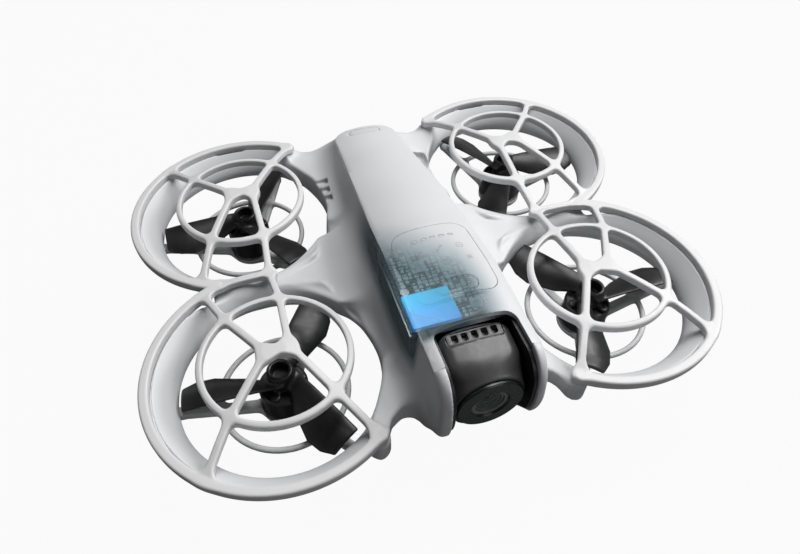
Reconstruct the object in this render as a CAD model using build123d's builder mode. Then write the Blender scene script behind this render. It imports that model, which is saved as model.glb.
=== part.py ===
from build123d import *
import math
import os

# Mini palm drone with four ducted propellers, a tilting camera and a slide-out battery.
# Millimetres. +Z is up, the camera looks along -Y, and the origin is on the surface that the
# drone rests on, under the middle of the fuselage. Left and right are the drone's own sides:
# it faces -Y, so its left side is +X.

os.makedirs("parts", exist_ok=True)

# ---------------------------------------------------------------- driving dimensions
rotor_x = 44.8              # rotor axes from the centre plane
rotor_y = 30.44             # rotor axes in front of and behind the middle
rim_radius = 33.7           # outside of the propeller guards
rim_top = 28.5              # top of the guards' outer rim above the ground
spine_peak = 48.5           # highest line of the fuselage
seam = 0.1                  # visible gap between moulded pieces
running = 0.05              # radial clearance of a shaft in its hole

# Fuselage
nose_y = -62.0
tail_y = 55.0
spine_peak_y = -30.0
spine_drop = 13.8           # fall of the spine line from its peak to the tail
crown_radius = 29.0         # sideways curve of the spine
crease_half_width = 12.8    # half the spine's width at its sharp edges
tail_crease_half_width = 10.3
duct_floor = 18.5           # bottom edge of the ducts
knee_half_width = 17.6      # fuselage half width where the ducts join it
mitre = 1.3                 # 45 degree joint between the top cover and the airframe
cap_thickness = 1.5
panel_thickness = 0.6
chamber_floor = 20.8         # floor of the electronics chamber, over the battery
chamber_front_y = -37.6
chamber_back_y = 50.2

# Ducts and guards
throat_radius = 26.0
duct_lip_radius = 31.0
duct_wall = 1.5
duct_lip_top = 26.2
rim_width = 2.3
rim_height = 3.0
spoke_width = 2.0
spoke_height = 2.4
guard_ring_radius = 18.5
guard_ring_z = 30.9         # middle of the inner ring
guard_hub_z = 33.3          # middle of the hub plate

# Screw joints of the guards: on the duct's corner and at the waist
corner_angle = math.radians(234)
corner_reach = 32.4
waist_post_x = 51.0
post_radius = 1.9

# Rotors
prop_radius = 25.2
hub_radius = 3.4
hub_top = 25.4
bell_radius = 6.5
bell_bottom = 11.2
bell_top = 18.8
shaft_radius = 0.75
cup_radius = 7.2
cup_bottom = 8.6
cage_ring_radius = 16.8
cage_ring_z = 14.8

# Camera
notch_half_width = 10.2
notch_back_y = -45.0
tilt_y = -51.0
tilt_z = 33.5
lens_z = 31.9
camera_half_width = 8.8
lens_plate_radius = 8.45
camera_front_y = -58.4
upper_sweep = 12.4          # camera bay radius behind the tilt axis
lower_sweep = 15.8          # deeper bay below the axis, for the lens when it looks down
liner_thickness = 0.9
tilt_pin_radius = 1.2

# Sockets, sensors and screws
usb_y, usb_z = 38.0, 25.0
usb_size = (9.0, 3.3)
vent_y, vent_z, vent_pitch = 33.0, 25.0, 4.2
belly_y = -24.7             # middle of the belly cover
belly_screw_x, belly_screw_y = 9.6, 7.4
belly_size = (22.8, 18.4)
vision_x = -4.6
distance_x, distance_y = 4.2, 2.6
pilot_radius = 0.75         # clearance holes of the guards' screws
thread_radius = 0.6

# Battery
battery_half_width = 14.8
battery_front_y = -13.4
battery_top = 18.9
bay_clearance = 0.2
tail_block_y = 42.2
tail_block_top = 16.3

# Drone's own sides: name, x side, y side, direction of turn, angle of the first blade
rotors = [
    ("front_left", 1, -1, -1, 0),
    ("front_right", -1, -1, 1, 58),
    ("rear_left", 1, 1, 1, 0),
    ("rear_right", -1, 1, -1, 60),
]


def spine_z(y):
    """Height of the spine's middle line."""
    if y < spine_peak_y:
        return spine_peak - 0.6 * ((spine_peak_y - y) / 15) ** 2 if y > -46 else spine_peak - 0.6
    return spine_peak - spine_drop * ((y - spine_peak_y) / 80) ** 1.2


def crease_x(y):
    """Half width of the spine at its sharp edge."""
    taper = min(max((y + 5) / 55, 0), 1)
    return crease_half_width + (tail_crease_half_width - crease_half_width) * taper


def crease_z(y):
    return spine_z(y) - crease_x(y) ** 2 / (2 * crown_radius)


def knee_x(y):
    """Half width of the flank at the ducts' floor: full in the middle, thin at the cheeks."""
    if y < -38:
        return max(13.6, knee_half_width - (-38 - y) * 0.32)
    return knee_half_width - max(0, y - 40) * 0.1


station_y = [nose_y, -54, -46, -38, -28, -12, 8, 28, 44, tail_y]


def mirrored(points):
    """Outline points on the right, followed by their mirror images."""
    return points + [(-x, z) for x, z in reversed(points)]


def spine_section(y, lowered, depth):
    """Crowned section of the spine; its mitred sides end at the crease."""
    edge_x, edge_z = crease_x(y), crease_z(y) - lowered
    inner_x, inner_z = edge_x - mitre, edge_z - mitre
    with BuildSketch(Plane.XZ.offset(-y)) as section:
        with BuildLine():
            ThreePointArc((-edge_x, edge_z), (0, spine_z(y) - lowered), (edge_x, edge_z))
            Line((edge_x, edge_z), (inner_x, inner_z))
            ThreePointArc((inner_x, inner_z), (0, spine_z(y) - depth), (-inner_x, inner_z))
            Line((-inner_x, inner_z), (-edge_x, edge_z))
        make_face()
    return section.sketch


def bar_section(start, end, width, height):
    """Rounded section at the start of a straight bar that is level across its width."""
    run = Vector(*end) - Vector(*start)
    across = (-run.Y, run.X, 0)
    with BuildSketch(Plane(origin=start, x_dir=across, z_dir=run.normalized())) as section:
        RectangleRounded(width, height, 0.6)
    return section.sketch


def length(start, end):
    return (Vector(*end) - Vector(*start)).length


# ---------------------------------------------------------------- shaping solids
# Side view of the fuselage: nose, chin, belly and tail.
with BuildPart() as side_view:
    with BuildSketch(Plane.YZ):
        with BuildLine():
            nose_top = (-54.7, 45.1)
            Line((tail_y, 60), (-54.7, 60))
            Line((-54.7, 60), nose_top)
            ThreePointArc(nose_top, (-59.4, 42.2), (-61.4, 35.5))
            ThreePointArc((-61.4, 35.5), (-61.5, 30.0), (-60.4, 25.1))
            Line((-60.4, 25.1), (-53, 16.5))
            Line((-53, 16.5), (-46, 10.2))
            ThreePointArc((-46, 10.2), (-41, 4.2), (-34, 0))
            Line((-34, 0), (48, 0))
            ThreePointArc((48, 0), (52.6, 2.6), (54, 7.5))
            Line((54, 7.5), (54.2, 26))
            ThreePointArc((54.2, 26), (53.4, 30.2), (51.6, 33.2))
            Line((51.6, 33.2), (51.6, 45))
            Line((51.6, 45), (tail_y, 60))
        make_face()
    extrude(amount=30, both=True)

# Outer form of the fuselage below the crease.
with BuildPart() as fuselage_form:
    for y in station_y:
        top_x, top_z = crease_x(y), crease_z(y)
        knee = knee_x(y)
        right = [
            (top_x - mitre, top_z - mitre),
            (top_x, top_z),
            (knee, duct_floor),
            (knee - 1.0, 8.5),
            (knee - 3.0, 2.2),
            (knee - 5.4, 0),
        ]
        with BuildSketch(Plane.XZ.offset(-y)):
            with BuildLine():
                Polyline(mirrored(right), close=True)
            make_face()
    loft(ruled=True)
    add(side_view.part, mode=Mode.INTERSECT)

with BuildPart() as spine_cap:
    loft([spine_section(y, 0, cap_thickness) for y in station_y], ruled=True)

with BuildPart() as spine_core:
    loft([spine_section(y, panel_thickness, 12) for y in station_y], ruled=True)

# Camera bay: the space that the camera sweeps, and the same space with room for its liner.
bay_forms = {}
for bay_name, grow in (("inner", 0), ("outer", liner_thickness)):
    with BuildPart() as bay_form:
        with BuildSketch(Plane.YZ):
            with Locations((tilt_y, tilt_z)):
                Circle(upper_sweep + grow)
                Circle(lower_sweep + grow)
            with Locations((tilt_y + 30, tilt_z + 27)):
                Rectangle(60, 60, mode=Mode.SUBTRACT)
            with Locations((tilt_y, tilt_z)):
                Circle(upper_sweep + grow)
            with Locations((notch_back_y - 20 + grow - liner_thickness, tilt_z + 15)):
                Rectangle(40, 30)
            with Locations((tilt_y - 20, tilt_z - 10)):
                Rectangle(40, 60)
        extrude(amount=notch_half_width - liner_thickness + grow, both=True)
    bay_forms[bay_name] = bay_form.part

# Blind holes for the tilt pins, along X into both cheeks.
pin_bore_end = 12.3
with BuildPart() as tilt_bores:
    with BuildSketch(Plane.YZ.offset(-pin_bore_end)):
        with Locations((tilt_y, tilt_z)):
            Circle(tilt_pin_radius + running)
    extrude(amount=2 * pin_bore_end)

# ---------------------------------------------------------------- airframe shell
with BuildPart() as airframe_shell:
    add(fuselage_form.part)
    # Webs between the fuselage and the ducts, and the waist between front and rear ducts.
    with BuildSketch(Plane.XY.offset(duct_floor)):
        with Locations((0, 0.5)):
            Rectangle(60, 95)
        with Locations((0, 46)):
            Rectangle(46, 13)
        Rectangle(116, 12)
    extrude(amount=2.8)
    for name, side_x, side_y, turn, blade_angle in rotors:
        with BuildSketch(Plane.XY.offset(duct_floor - 1)):
            with Locations((side_x * rotor_x, side_y * rotor_y)):
                Circle(throat_radius + duct_wall)
        extrude(amount=12, mode=Mode.SUBTRACT)
    # Electronics chamber under the top cover
    with BuildSketch(Plane.XY.offset(chamber_floor)):
        with Locations((0, (chamber_front_y + chamber_back_y) / 2)):
            Rectangle(2 * (tail_crease_half_width - 0.2), chamber_back_y - chamber_front_y)
        with Locations((0, (chamber_front_y + 8) / 2)):
            Rectangle(25.2, 8 - chamber_front_y)
    extrude(amount=40, mode=Mode.SUBTRACT)
    # Battery bay, open below and behind
    with BuildSketch(Plane.XY.offset(-1)):
        bay_half = battery_half_width + bay_clearance
        with Locations((0, (battery_front_y - 0.8 + 60) / 2)):
            Rectangle(2 * bay_half, 60 - battery_front_y + 0.8)
    extrude(amount=battery_top + bay_clearance + 1, mode=Mode.SUBTRACT)
    with BuildSketch(Plane.XY.offset(-1)):
        with Locations((0, tail_block_y + 10)):
            Rectangle(60, 20)
    extrude(amount=tail_block_top + bay_clearance + 1, mode=Mode.SUBTRACT)
    # Belly chamber for the downward sensors
    with BuildSketch(Plane.XY.offset(-1)):
        with Locations((0, belly_y)):
            Rectangle(belly_size[0] + 2 * seam, belly_size[1] + 2 * seam)
    extrude(amount=17, mode=Mode.SUBTRACT)
    add(bay_forms["outer"], mode=Mode.SUBTRACT)
    add(tilt_bores.part, mode=Mode.SUBTRACT)
    # Pocket of the tilt motor in the left cheek
    with BuildSketch(Plane.YZ.offset(notch_half_width - 1)):
        with Locations((tilt_y, tilt_z)):
            Circle(4.6)
    extrude(amount=3.4, mode=Mode.SUBTRACT)
    # USB socket in the left flank, cooling slots in the right flank
    with BuildSketch(Plane.YZ.offset(8)):
        with Locations((usb_y, usb_z)):
            RectangleRounded(usb_size[0] + 2 * seam, usb_size[1] + 2 * seam, 1.6)
    extrude(amount=12, mode=Mode.SUBTRACT)
    with BuildSketch(Plane.YZ.offset(-8)):
        with GridLocations(vent_pitch, 1, 3, 1):
            with Locations((vent_y, vent_z)):
                RectangleRounded(2.6, 1.4, 0.6)
    extrude(amount=-12, mode=Mode.SUBTRACT)
    # Rails that hold the battery
    for side in (-1, 1):
        with BuildSketch(Plane.XY.offset(9.2)):
            with Locations((side * (bay_half - 0.3), 12)):
                Rectangle(1.6, 50)
        extrude(amount=1.6)
    # Waist bosses for the guard screws
    with BuildSketch(Plane.XY.offset(duct_floor)):
        with Locations((waist_post_x, 0), (-waist_post_x, 0)):
            Circle(post_radius)
    extrude(amount=6.3)
    with Locations((waist_post_x, 0, duct_floor), (-waist_post_x, 0, duct_floor)):
        Cylinder(pilot_radius, 30, mode=Mode.SUBTRACT)
airframe_shell.part.label = "airframe_shell"
export_step(airframe_shell.part, "parts/airframe_shell.step")

# ---------------------------------------------------------------- ducts
for name, side_x, side_y, turn, blade_angle in rotors:
    centre_x, centre_y = side_x * rotor_x, side_y * rotor_y
    boss_x = centre_x + side_x * corner_reach * math.cos(corner_angle)
    boss_y = centre_y - side_y * corner_reach * math.sin(corner_angle)
    with BuildPart() as duct:
        with BuildSketch(Plane(origin=(centre_x, centre_y, 0), x_dir=(1, 0, 0), z_dir=(0, -1, 0))):
            with BuildLine():
                outer_radius = throat_radius + duct_wall
                lip_edge = duct_lip_top - 0.9
                Line((throat_radius, duct_floor), (throat_radius, 21.4))
                ThreePointArc((throat_radius, 21.4), (27.4, 24.8), (duct_lip_radius, duct_lip_top))
                Line((duct_lip_radius, duct_lip_top), (duct_lip_radius, lip_edge))
                ThreePointArc((duct_lip_radius, lip_edge), (28.7, 23.9), (outer_radius, 20.8))
                Line((outer_radius, 20.8), (outer_radius, duct_floor))
                Line((outer_radius, duct_floor), (throat_radius, duct_floor))
            make_face()
        revolve(axis=Axis((centre_x, centre_y, 0), (0, 0, 1)))
        # Corner boss for a guard screw, on a rib
        rib = Plane(origin=(centre_x, centre_y, duct_floor + 0.6),
                    x_dir=(boss_x - centre_x, boss_y - centre_y, 0), z_dir=(0, 0, 1))
        with BuildSketch(rib):
            with Locations((30, 0)):
                Rectangle(4.8, 2.2)
            with Locations((corner_reach, 0)):
                Circle(post_radius)
        extrude(amount=5.4)
        with BuildSketch(rib):
            with Locations((corner_reach, 0)):
                Circle(pilot_radius)
        extrude(amount=6, mode=Mode.SUBTRACT)
        # Clearance round the guard's posts
        with BuildSketch(Plane.XY.offset(21.6)):
            with Locations((boss_x, boss_y), (side_x * waist_post_x, 0)):
                Circle(post_radius + seam)
        extrude(amount=8, mode=Mode.SUBTRACT)
        # The fuselage flank takes the bellmouth's place, and the two ducts meet at the waist
        add(fuselage_form.part, mode=Mode.SUBTRACT)
        split(bisect_by=Plane.XZ.offset(-side_y * seam / 2),
              keep=Keep.BOTTOM if side_y > 0 else Keep.TOP)
    duct.part.label = f"duct_{name}"
    export_step(duct.part, f"parts/duct_{name}.step")

# ---------------------------------------------------------------- guards
hub_outer = (2.0, 0.0)          # spoke junctions, from the rotor axis, for the front left rotor
hub_inner = (-3.8, 0.5)
rim_spoke = (13.2, -13.6, 20.8, -25.2)      # crossing of the inner ring, then the end
corner_spoke = (-12.0, -14.2, -19.3, -28.0)
waist_outer_spoke = (10.6, 15.2, 16.0, 29.6)
waist_inner_spoke = (-4.2, 18.1, -3.2, 29.6)


for guard_name, side_x in (("guard_left", 1), ("guard_right", -1)):
    with BuildPart() as guard:
        for side_y in (-1, 1):
            centre_x, centre_y = side_x * rotor_x, side_y * rotor_y

            def at(offset_x, offset_y, z):
                return (centre_x + side_x * offset_x, centre_y - side_y * offset_y, z)

            # Outer rim, from the corner round the outside to the waist
            with BuildSketch(Plane.XY.offset(rim_top - rim_height)):
                with Locations((centre_x, centre_y)):
                    Circle(rim_radius)
                    Circle(rim_radius - rim_width, mode=Mode.SUBTRACT)
                with BuildLine():
                    Polyline(
                        (centre_x, centre_y),
                        (centre_x - side_x * 29.4, centre_y + side_y * 40.0),
                        (centre_x + side_x * 60, centre_y + side_y * 60),
                        (centre_x + side_x * 60, side_y * 0.01),
                        (centre_x + side_x * 15, side_y * 0.01),
                        close=True)
                make_face(mode=Mode.INTERSECT)
            extrude(amount=rim_height)
            # Inner ring
            with BuildSketch(Plane.XY.offset(guard_ring_z - 1.1)):
                with Locations((centre_x, centre_y)):
                    Circle(guard_ring_radius + 0.9)
                    Circle(guard_ring_radius - 0.9, mode=Mode.SUBTRACT)
            extrude(amount=2.2)
            # Hub plate
            start, end = at(*hub_outer, guard_hub_z), at(*hub_inner, guard_hub_z)
            extrude(bar_section(start, end, 4.2, spoke_height), amount=length(start, end))
            # Spokes, each in two straight runs that fall towards the rim
            for hub, spoke, end_z in (
                (hub_outer, rim_spoke, 27.2),
                (hub_inner, corner_spoke, 26.6),
                (hub_outer, waist_outer_spoke, 27.4),
                (hub_inner, waist_inner_spoke, 28.6),
            ):
                ring_x, ring_y, end_x, end_y = spoke
                top, middle = at(*hub, guard_hub_z), at(ring_x, ring_y, guard_ring_z)
                foot = at(end_x, end_y, end_z)
                for start, end in ((top, middle), (middle, foot)):
                    extrude(bar_section(start, end, spoke_width, spoke_height),
                            amount=length(start, end))
                with Locations(at(*hub, guard_hub_z)):
                    Cylinder(1.7, spoke_height)
                with Locations(at(ring_x, ring_y, guard_ring_z)):
                    Cylinder(1.3, spoke_height)
            # Post over the duct's corner boss
            post_x = centre_x + side_x * corner_reach * math.cos(corner_angle)
            post_y = centre_y - side_y * corner_reach * math.sin(corner_angle)
            with Locations((post_x, post_y, 26.4)):
                Cylinder(post_radius, 3.4)
        # Waist bar that joins the two halves, and its post
        start, end = (side_x * (rotor_x + 16.0), 0, 27.6), (side_x * (rotor_x - 4.2), 0, 28.6)
        extrude(bar_section(start, end, spoke_width, spoke_height), amount=length(start, end))
        with Locations((side_x * waist_post_x, 0, 26.7)):
            Cylinder(post_radius, 3.2)
        with Locations((side_x * (rotor_x + 15.6), 0, 27.2)):
            Cylinder(1.6, 2.6)
        # Pilot holes for the screws, from below
        hole_points = [(side_x * waist_post_x, 0)]
        for side_y in (-1, 1):
            hole_points.append((
                side_x * (rotor_x + corner_reach * math.cos(corner_angle)),
                side_y * (rotor_y - corner_reach * math.sin(corner_angle))))
        with BuildSketch(Plane.XY.offset(24)):
            with Locations(*hole_points):
                Circle(thread_radius)
        extrude(amount=3.2, mode=Mode.SUBTRACT)
    guard.part.label = guard_name
    export_step(guard.part, f"parts/{guard_name}.step")

with BuildPart() as guard_screws:
    screw_points = []
    for side_x in (-1, 1):
        screw_points.append((side_x * waist_post_x, 0, duct_floor))
        for side_y in (-1, 1):
            screw_points.append((
                side_x * (rotor_x + corner_reach * math.cos(corner_angle)),
                side_y * (rotor_y - corner_reach * math.sin(corner_angle)),
                duct_floor + 0.6))
    for x, y, z in screw_points:
        with BuildSketch(Plane.XY.offset(z - 1.0)):
            with Locations((x, y)):
                Circle(1.3)
        extrude(amount=1.0)
        with BuildSketch(Plane.XY.offset(z)):
            with Locations((x, y)):
                Circle(thread_radius - 0.02)
        extrude(amount=27.0 - z)
guard_screws.part.label = "guard_screws"
export_step(guard_screws.part, "parts/guard_screws.step")

# ---------------------------------------------------------------- motors and propellers
blade_stations = [      # radius, chord, pitch in degrees
    (2.6, 4.4, 32),
    (9.0, 8.4, 29),
    (17.0, 10.8, 23),
    (21.5, 9.6, 19),
    (prop_radius, 6.4, 16),
]
blade_z = 21.6
blade_thickness = 0.9
leading_edge = 3.6              # the straight leading edge is this far from the blade's axis

for name, side_x, side_y, turn, blade_angle in rotors:
    centre_x, centre_y = side_x * rotor_x, side_y * rotor_y
    rotor_axis = Axis((centre_x, centre_y, 0), (0, 0, 1))

    # Motor cup, three arms and the lower ring
    with BuildPart() as motor_cage:
        with BuildSketch(Plane.XY.offset(cup_bottom)):
            with Locations((centre_x, centre_y)):
                Circle(cup_radius)
        extrude(amount=2.3)
        with BuildSketch(Plane.XY.offset(cage_ring_z - 0.8)):
            with Locations((centre_x, centre_y)):
                Circle(cage_ring_radius + 0.8)
                Circle(cage_ring_radius - 0.8, mode=Mode.SUBTRACT)
        extrude(amount=1.6)
        for arm in range(3):
            angle = math.radians(120 * arm)
            out_x, out_y = side_x * math.cos(angle), math.sin(angle)
            inner = (centre_x + 5.5 * out_x, centre_y + 5.5 * out_y, 9.9)
            outer = (centre_x + 26.4 * out_x, centre_y + 26.4 * out_y, 17.2)
            extrude(bar_section(inner, outer, 3.0, 2.2), amount=length(inner, outer))
            foot = Plane(origin=(*outer[:2], 16.4), x_dir=(out_x, out_y, 0), z_dir=(0, 0, 1))
            with BuildSketch(foot):
                Rectangle(1.8, 3.0)
            extrude(amount=duct_floor - 16.4)
        with BuildSketch(Plane.XY.offset(duct_floor)):
            with Locations((centre_x, centre_y)):
                Circle(30)
        extrude(amount=4, mode=Mode.SUBTRACT)
        with BuildSketch(Plane.XY.offset(cup_bottom + 1.1)):
            with Locations((centre_x, centre_y)):
                Circle(cup_radius - 0.4)
        extrude(amount=5.5, mode=Mode.SUBTRACT)
    motor_cage.part.label = f"motor_cage_{name}"
    export_step(motor_cage.part, f"parts/motor_cage_{name}.step")

    # Stator: base flange, hub and nine teeth round the shaft hole
    with BuildPart() as stator:
        with BuildSketch(Plane.XY.offset(cup_bottom + 1.1)):
            with Locations((centre_x, centre_y)):
                Circle(3.2)
        extrude(amount=1.6)
        with BuildSketch(Plane.XY.offset(bell_bottom + 0.1)):
            with Locations((centre_x, centre_y)):
                Circle(2.6)
                with PolarLocations(3.6, 9):
                    Rectangle(3.2, 1.1)
        extrude(amount=5.6)
        with BuildSketch(Plane.XY.offset(cup_bottom + 1.1)):
            with Locations((centre_x, centre_y)):
                Circle(shaft_radius + running)
        extrude(amount=12, mode=Mode.SUBTRACT)
    stator.part.label = f"motor_stator_{name}"
    export_step(stator.part, f"parts/motor_stator_{name}.step")

    # Bell with its shaft
    with BuildPart() as bell:
        with BuildSketch(Plane(origin=(centre_x, centre_y, 0), x_dir=(1, 0, 0), z_dir=(0, -1, 0))):
            with BuildLine():
                Polyline(
                    (0, cup_bottom + 1.4),
                    (shaft_radius, cup_bottom + 1.4),
                    (shaft_radius, bell_top - 0.9),
                    (bell_radius - 0.6, bell_top - 0.9),
                    (bell_radius - 0.6, bell_bottom),
                    (bell_radius, bell_bottom),
                    (bell_radius, bell_top - 0.6),
                    (bell_radius - 0.6, bell_top),
                    (shaft_radius, bell_top),
                    (shaft_radius, hub_top - 3.4),
                    (0, hub_top - 3.4),
                    close=True)
            make_face()
        revolve(axis=rotor_axis)
        with BuildSketch(Plane.XY.offset(bell_top - 1.2)):
            with Locations((centre_x, centre_y)):
                with PolarLocations(4.9, 6):
                    Circle(0.8)
        extrude(amount=1.5, mode=Mode.SUBTRACT)
    bell.part.label = f"motor_bell_{name}"
    export_step(bell.part, f"parts/motor_bell_{name}.step")

    # Propeller: hollow hub and three swept blades
    with BuildPart() as propeller:
        with BuildSketch(Plane.XY.offset(bell_top)):
            with Locations((centre_x, centre_y)):
                Circle(hub_radius)
        extrude(amount=hub_top - bell_top)
        for blade in range(3):
            angle = math.radians(blade_angle + 120 * blade)
            radial = (math.cos(angle), math.sin(angle), 0)
            for radius, chord, pitch in blade_stations:
                lean = math.radians(pitch)
                forward = (-math.sin(angle) * turn, math.cos(angle) * turn, 0)
                chord_line = (forward[0] * math.cos(lean), forward[1] * math.cos(lean),
                              math.sin(lean))
                middle = leading_edge - chord / 2 * math.cos(lean)
                rise = (leading_edge - chord / 2) * math.sin(lean) * 0.6
                station = Plane(
                    origin=(centre_x + radial[0] * radius + forward[0] * middle,
                            centre_y + radial[1] * radius + forward[1] * middle,
                            blade_z + rise),
                    x_dir=chord_line, z_dir=radial)
                with BuildSketch(station):
                    RectangleRounded(chord, blade_thickness, 0.35)
            loft()
        with BuildSketch(Plane.XY.offset(bell_top)):
            with Locations((centre_x, centre_y)):
                Circle(shaft_radius + 0.01)
        extrude(amount=hub_top, mode=Mode.SUBTRACT)
        with BuildSketch(Plane.XY.offset(hub_top - 2.8)):
            with Locations((centre_x, centre_y)):
                Circle(2.2)
        extrude(amount=6, mode=Mode.SUBTRACT)
    propeller.part.label = f"propeller_{name}"
    export_step(propeller.part, f"parts/propeller_{name}.step")

# ---------------------------------------------------------------- top cover and controls
panel_half_width = 10.3
panel_front_y, panel_back_y = -38.2, -12.8
panel_y = (panel_front_y + panel_back_y) / 2
panel_length = panel_back_y - panel_front_y
panel_corner = 3.6
mode_y = -35.2
power_y = 48.3
lights_y = -17.6
light_pitch = 2.45
mode_size = (10.4, 4.0)
power_size = (10.4, 3.2)

with BuildPart() as control_panel:
    add(spine_cap.part)
    with BuildSketch(Plane.XY.offset(30)):
        with Locations((0, panel_y)):
            RectangleRounded(2 * panel_half_width, panel_length, panel_corner)
        with Locations((0, mode_y)):
            RectangleRounded(mode_size[0] + 2 * seam, mode_size[1] + 2 * seam,
                             mode_size[1] / 2, mode=Mode.SUBTRACT)
        with Locations((0, lights_y)):
            with GridLocations(light_pitch, 1, 5, 1):
                RectangleRounded(1.5, 0.66, 0.32, mode=Mode.SUBTRACT)
    extrude(amount=30, mode=Mode.INTERSECT)
    add(spine_core.part, mode=Mode.SUBTRACT)
control_panel.part.label = "control_panel"
export_step(control_panel.part, "parts/control_panel.step")

with BuildPart() as panel_pocket:
    add(spine_cap.part)
    with BuildSketch(Plane.XY.offset(30)):
        with Locations((0, panel_y)):
            RectangleRounded(2 * panel_half_width + 2 * seam, panel_length + 2 * seam,
                             panel_corner + seam)
    extrude(amount=30, mode=Mode.INTERSECT)
    add(spine_core.part, mode=Mode.SUBTRACT)

with BuildPart() as top_cover:
    add(spine_cap.part)
    add(side_view.part, mode=Mode.INTERSECT)
    with BuildSketch(Plane.XY.offset(20)):
        with Locations((0, notch_back_y - 20)):
            Rectangle(2 * notch_half_width, 40)
        with Locations((0, mode_y)):
            RectangleRounded(mode_size[0] + 2 * seam, mode_size[1] + 2 * seam, mode_size[1] / 2)
        with Locations((0, power_y)):
            RectangleRounded(power_size[0] + 2 * seam, power_size[1] + 2 * seam, 1.1)
        with Locations((0, lights_y)):
            with GridLocations(light_pitch, 1, 5, 1):
                RectangleRounded(1.5, 0.66, 0.32)
    extrude(amount=40, mode=Mode.SUBTRACT)
    add(panel_pocket.part, mode=Mode.SUBTRACT)
top_cover.part.label = "top_cover"
export_step(top_cover.part, "parts/top_cover.step")

with BuildPart() as status_lights:
    add(spine_cap.part)
    with BuildSketch(Plane.XY.offset(20)):
        with Locations((0, lights_y)):
            with GridLocations(light_pitch, 1, 5, 1):
                RectangleRounded(1.44, 0.6, 0.29)
    extrude(amount=40, mode=Mode.INTERSECT)
status_lights.part.label = "status_lights"
export_step(status_lights.part, "parts/status_lights.step")

# Buttons: the cap follows the spine, and a flange under the cover keeps it in.
for button_name, y, size, corner in (
    ("mode_button", mode_y, mode_size, mode_size[1] / 2 - 0.02),
    ("power_button", power_y, power_size, 1.0),
):
    with BuildPart() as button:
        add(spine_cap.part)
        with BuildSketch(Plane.XY.offset(20)):
            with Locations((0, y)):
                RectangleRounded(*size, corner)
        extrude(amount=40, mode=Mode.INTERSECT)
        with BuildSketch(Plane.XY.offset(spine_z(y) - 3.4)):
            with Locations((0, y)):
                RectangleRounded(size[0] - 2.4, size[1] - 1.4, 0.6)
        extrude(amount=2.2)
    button.part.label = button_name
    export_step(button.part, f"parts/{button_name}.step")

with BuildPart() as button_switches:
    for y in (mode_y, power_y):
        with BuildSketch(Plane.XY.offset(spine_z(y) - 5.2)):
            with Locations((0, y)):
                Rectangle(3.4, 2.4)
        extrude(amount=1.4)
button_switches.part.label = "button_switches"
export_step(button_switches.part, "parts/button_switches.step")

# ---------------------------------------------------------------- camera bay and camera
with BuildPart() as camera_bay_liner:
    add(bay_forms["outer"])
    with BuildSketch(Plane.YZ):
        with BuildLine():
            Line((-37, 44.2), (-54.2, 44.2))
            ThreePointArc((-54.2, 44.2), (-58.7, 41.6), (-60.6, 35.5))
            ThreePointArc((-60.6, 35.5), (-60.7, 30.4), (-59.8, 26.2))
            Line((-59.8, 26.2), (-52.6, 18.4))
            Line((-52.6, 18.4), (-37, 18.4))
            Line((-37, 18.4), (-34, 30))
            Line((-34, 30), (-37, 44.2))
        make_face()
    extrude(amount=notch_half_width - seam / 2, both=True, mode=Mode.INTERSECT)
    add(bay_forms["inner"], mode=Mode.SUBTRACT)
    add(tilt_bores.part, mode=Mode.SUBTRACT)
camera_bay_liner.part.label = "camera_bay_liner"
export_step(camera_bay_liner.part, "parts/camera_bay_liner.step")

with BuildPart() as tilt_motor:
    with BuildSketch(Plane.YZ.offset(notch_half_width + 0.05)):
        with Locations((tilt_y, tilt_z)):
            Circle(4.5)
            Circle(tilt_pin_radius + running, mode=Mode.SUBTRACT)
    extrude(amount=2.2)
tilt_motor.part.label = "tilt_motor"
export_step(tilt_motor.part, "parts/tilt_motor.step")

vent_panel_y, vent_panel_z = -46.1, 42.4
vent_panel_size = (13.5, 2.9)
housing_sections = [        # y, half width, bottom, top, corner radius
    (-44.8, 8.5, 27.6, 43.7, 3.4),
    (-50.0, camera_half_width, 24.2, 42.4, 6.0),
    (-55.0, camera_half_width, 23.2, 41.2, 8.0),
    (camera_front_y, 8.8, lens_z - 8.8, lens_z + 8.8, 8.75),
]
with BuildPart() as camera_housing:
    for y, half_width, bottom, top, corner in housing_sections:
        with BuildSketch(Plane.XZ.offset(-y)):
            with Locations((0, (bottom + top) / 2)):
                RectangleRounded(2 * half_width, top - bottom, corner)
    loft()
    # Lip under the lens
    with BuildSketch(Plane.XZ.offset(-camera_front_y - 4.5)):
        with Locations((0, lens_z - 8.6)):
            RectangleRounded(9.2, 2.4, 0.8)
    extrude(amount=4.9)
    # Room for the lens and sensor
    with BuildSketch(Plane.XZ.offset(47)):
        with Locations((0, lens_z + 1)):
            RectangleRounded(13, 11.6, 2)
    extrude(amount=8.6, mode=Mode.SUBTRACT)
    with BuildSketch(Plane.XZ.offset(50)):
        with Locations((0, lens_z)):
            Circle(5.0)
    extrude(amount=12, mode=Mode.SUBTRACT)
    # Seat of the lens plate
    with BuildSketch(Plane.XZ.offset(-camera_front_y)):
        with Locations((0, lens_z)):
            Circle(lens_plate_radius + 0.02)
    extrude(amount=4, mode=Mode.SUBTRACT)
    # Pocket of the vent panel
    with BuildSketch(Plane.XY.offset(vent_panel_z)):
        with Locations((0, vent_panel_y)):
            RectangleRounded(vent_panel_size[0] + 2 * seam, vent_panel_size[1] + 2 * seam, 0.9)
    extrude(amount=4, mode=Mode.SUBTRACT)
    # Holes of the tilt pins
    with BuildSketch(Plane.YZ.offset(-20)):
        with Locations((tilt_y, tilt_z)):
            Circle(tilt_pin_radius)
    extrude(amount=40, mode=Mode.SUBTRACT)
camera_housing.part.label = "camera_housing"
export_step(camera_housing.part, "parts/camera_housing.step")

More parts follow.
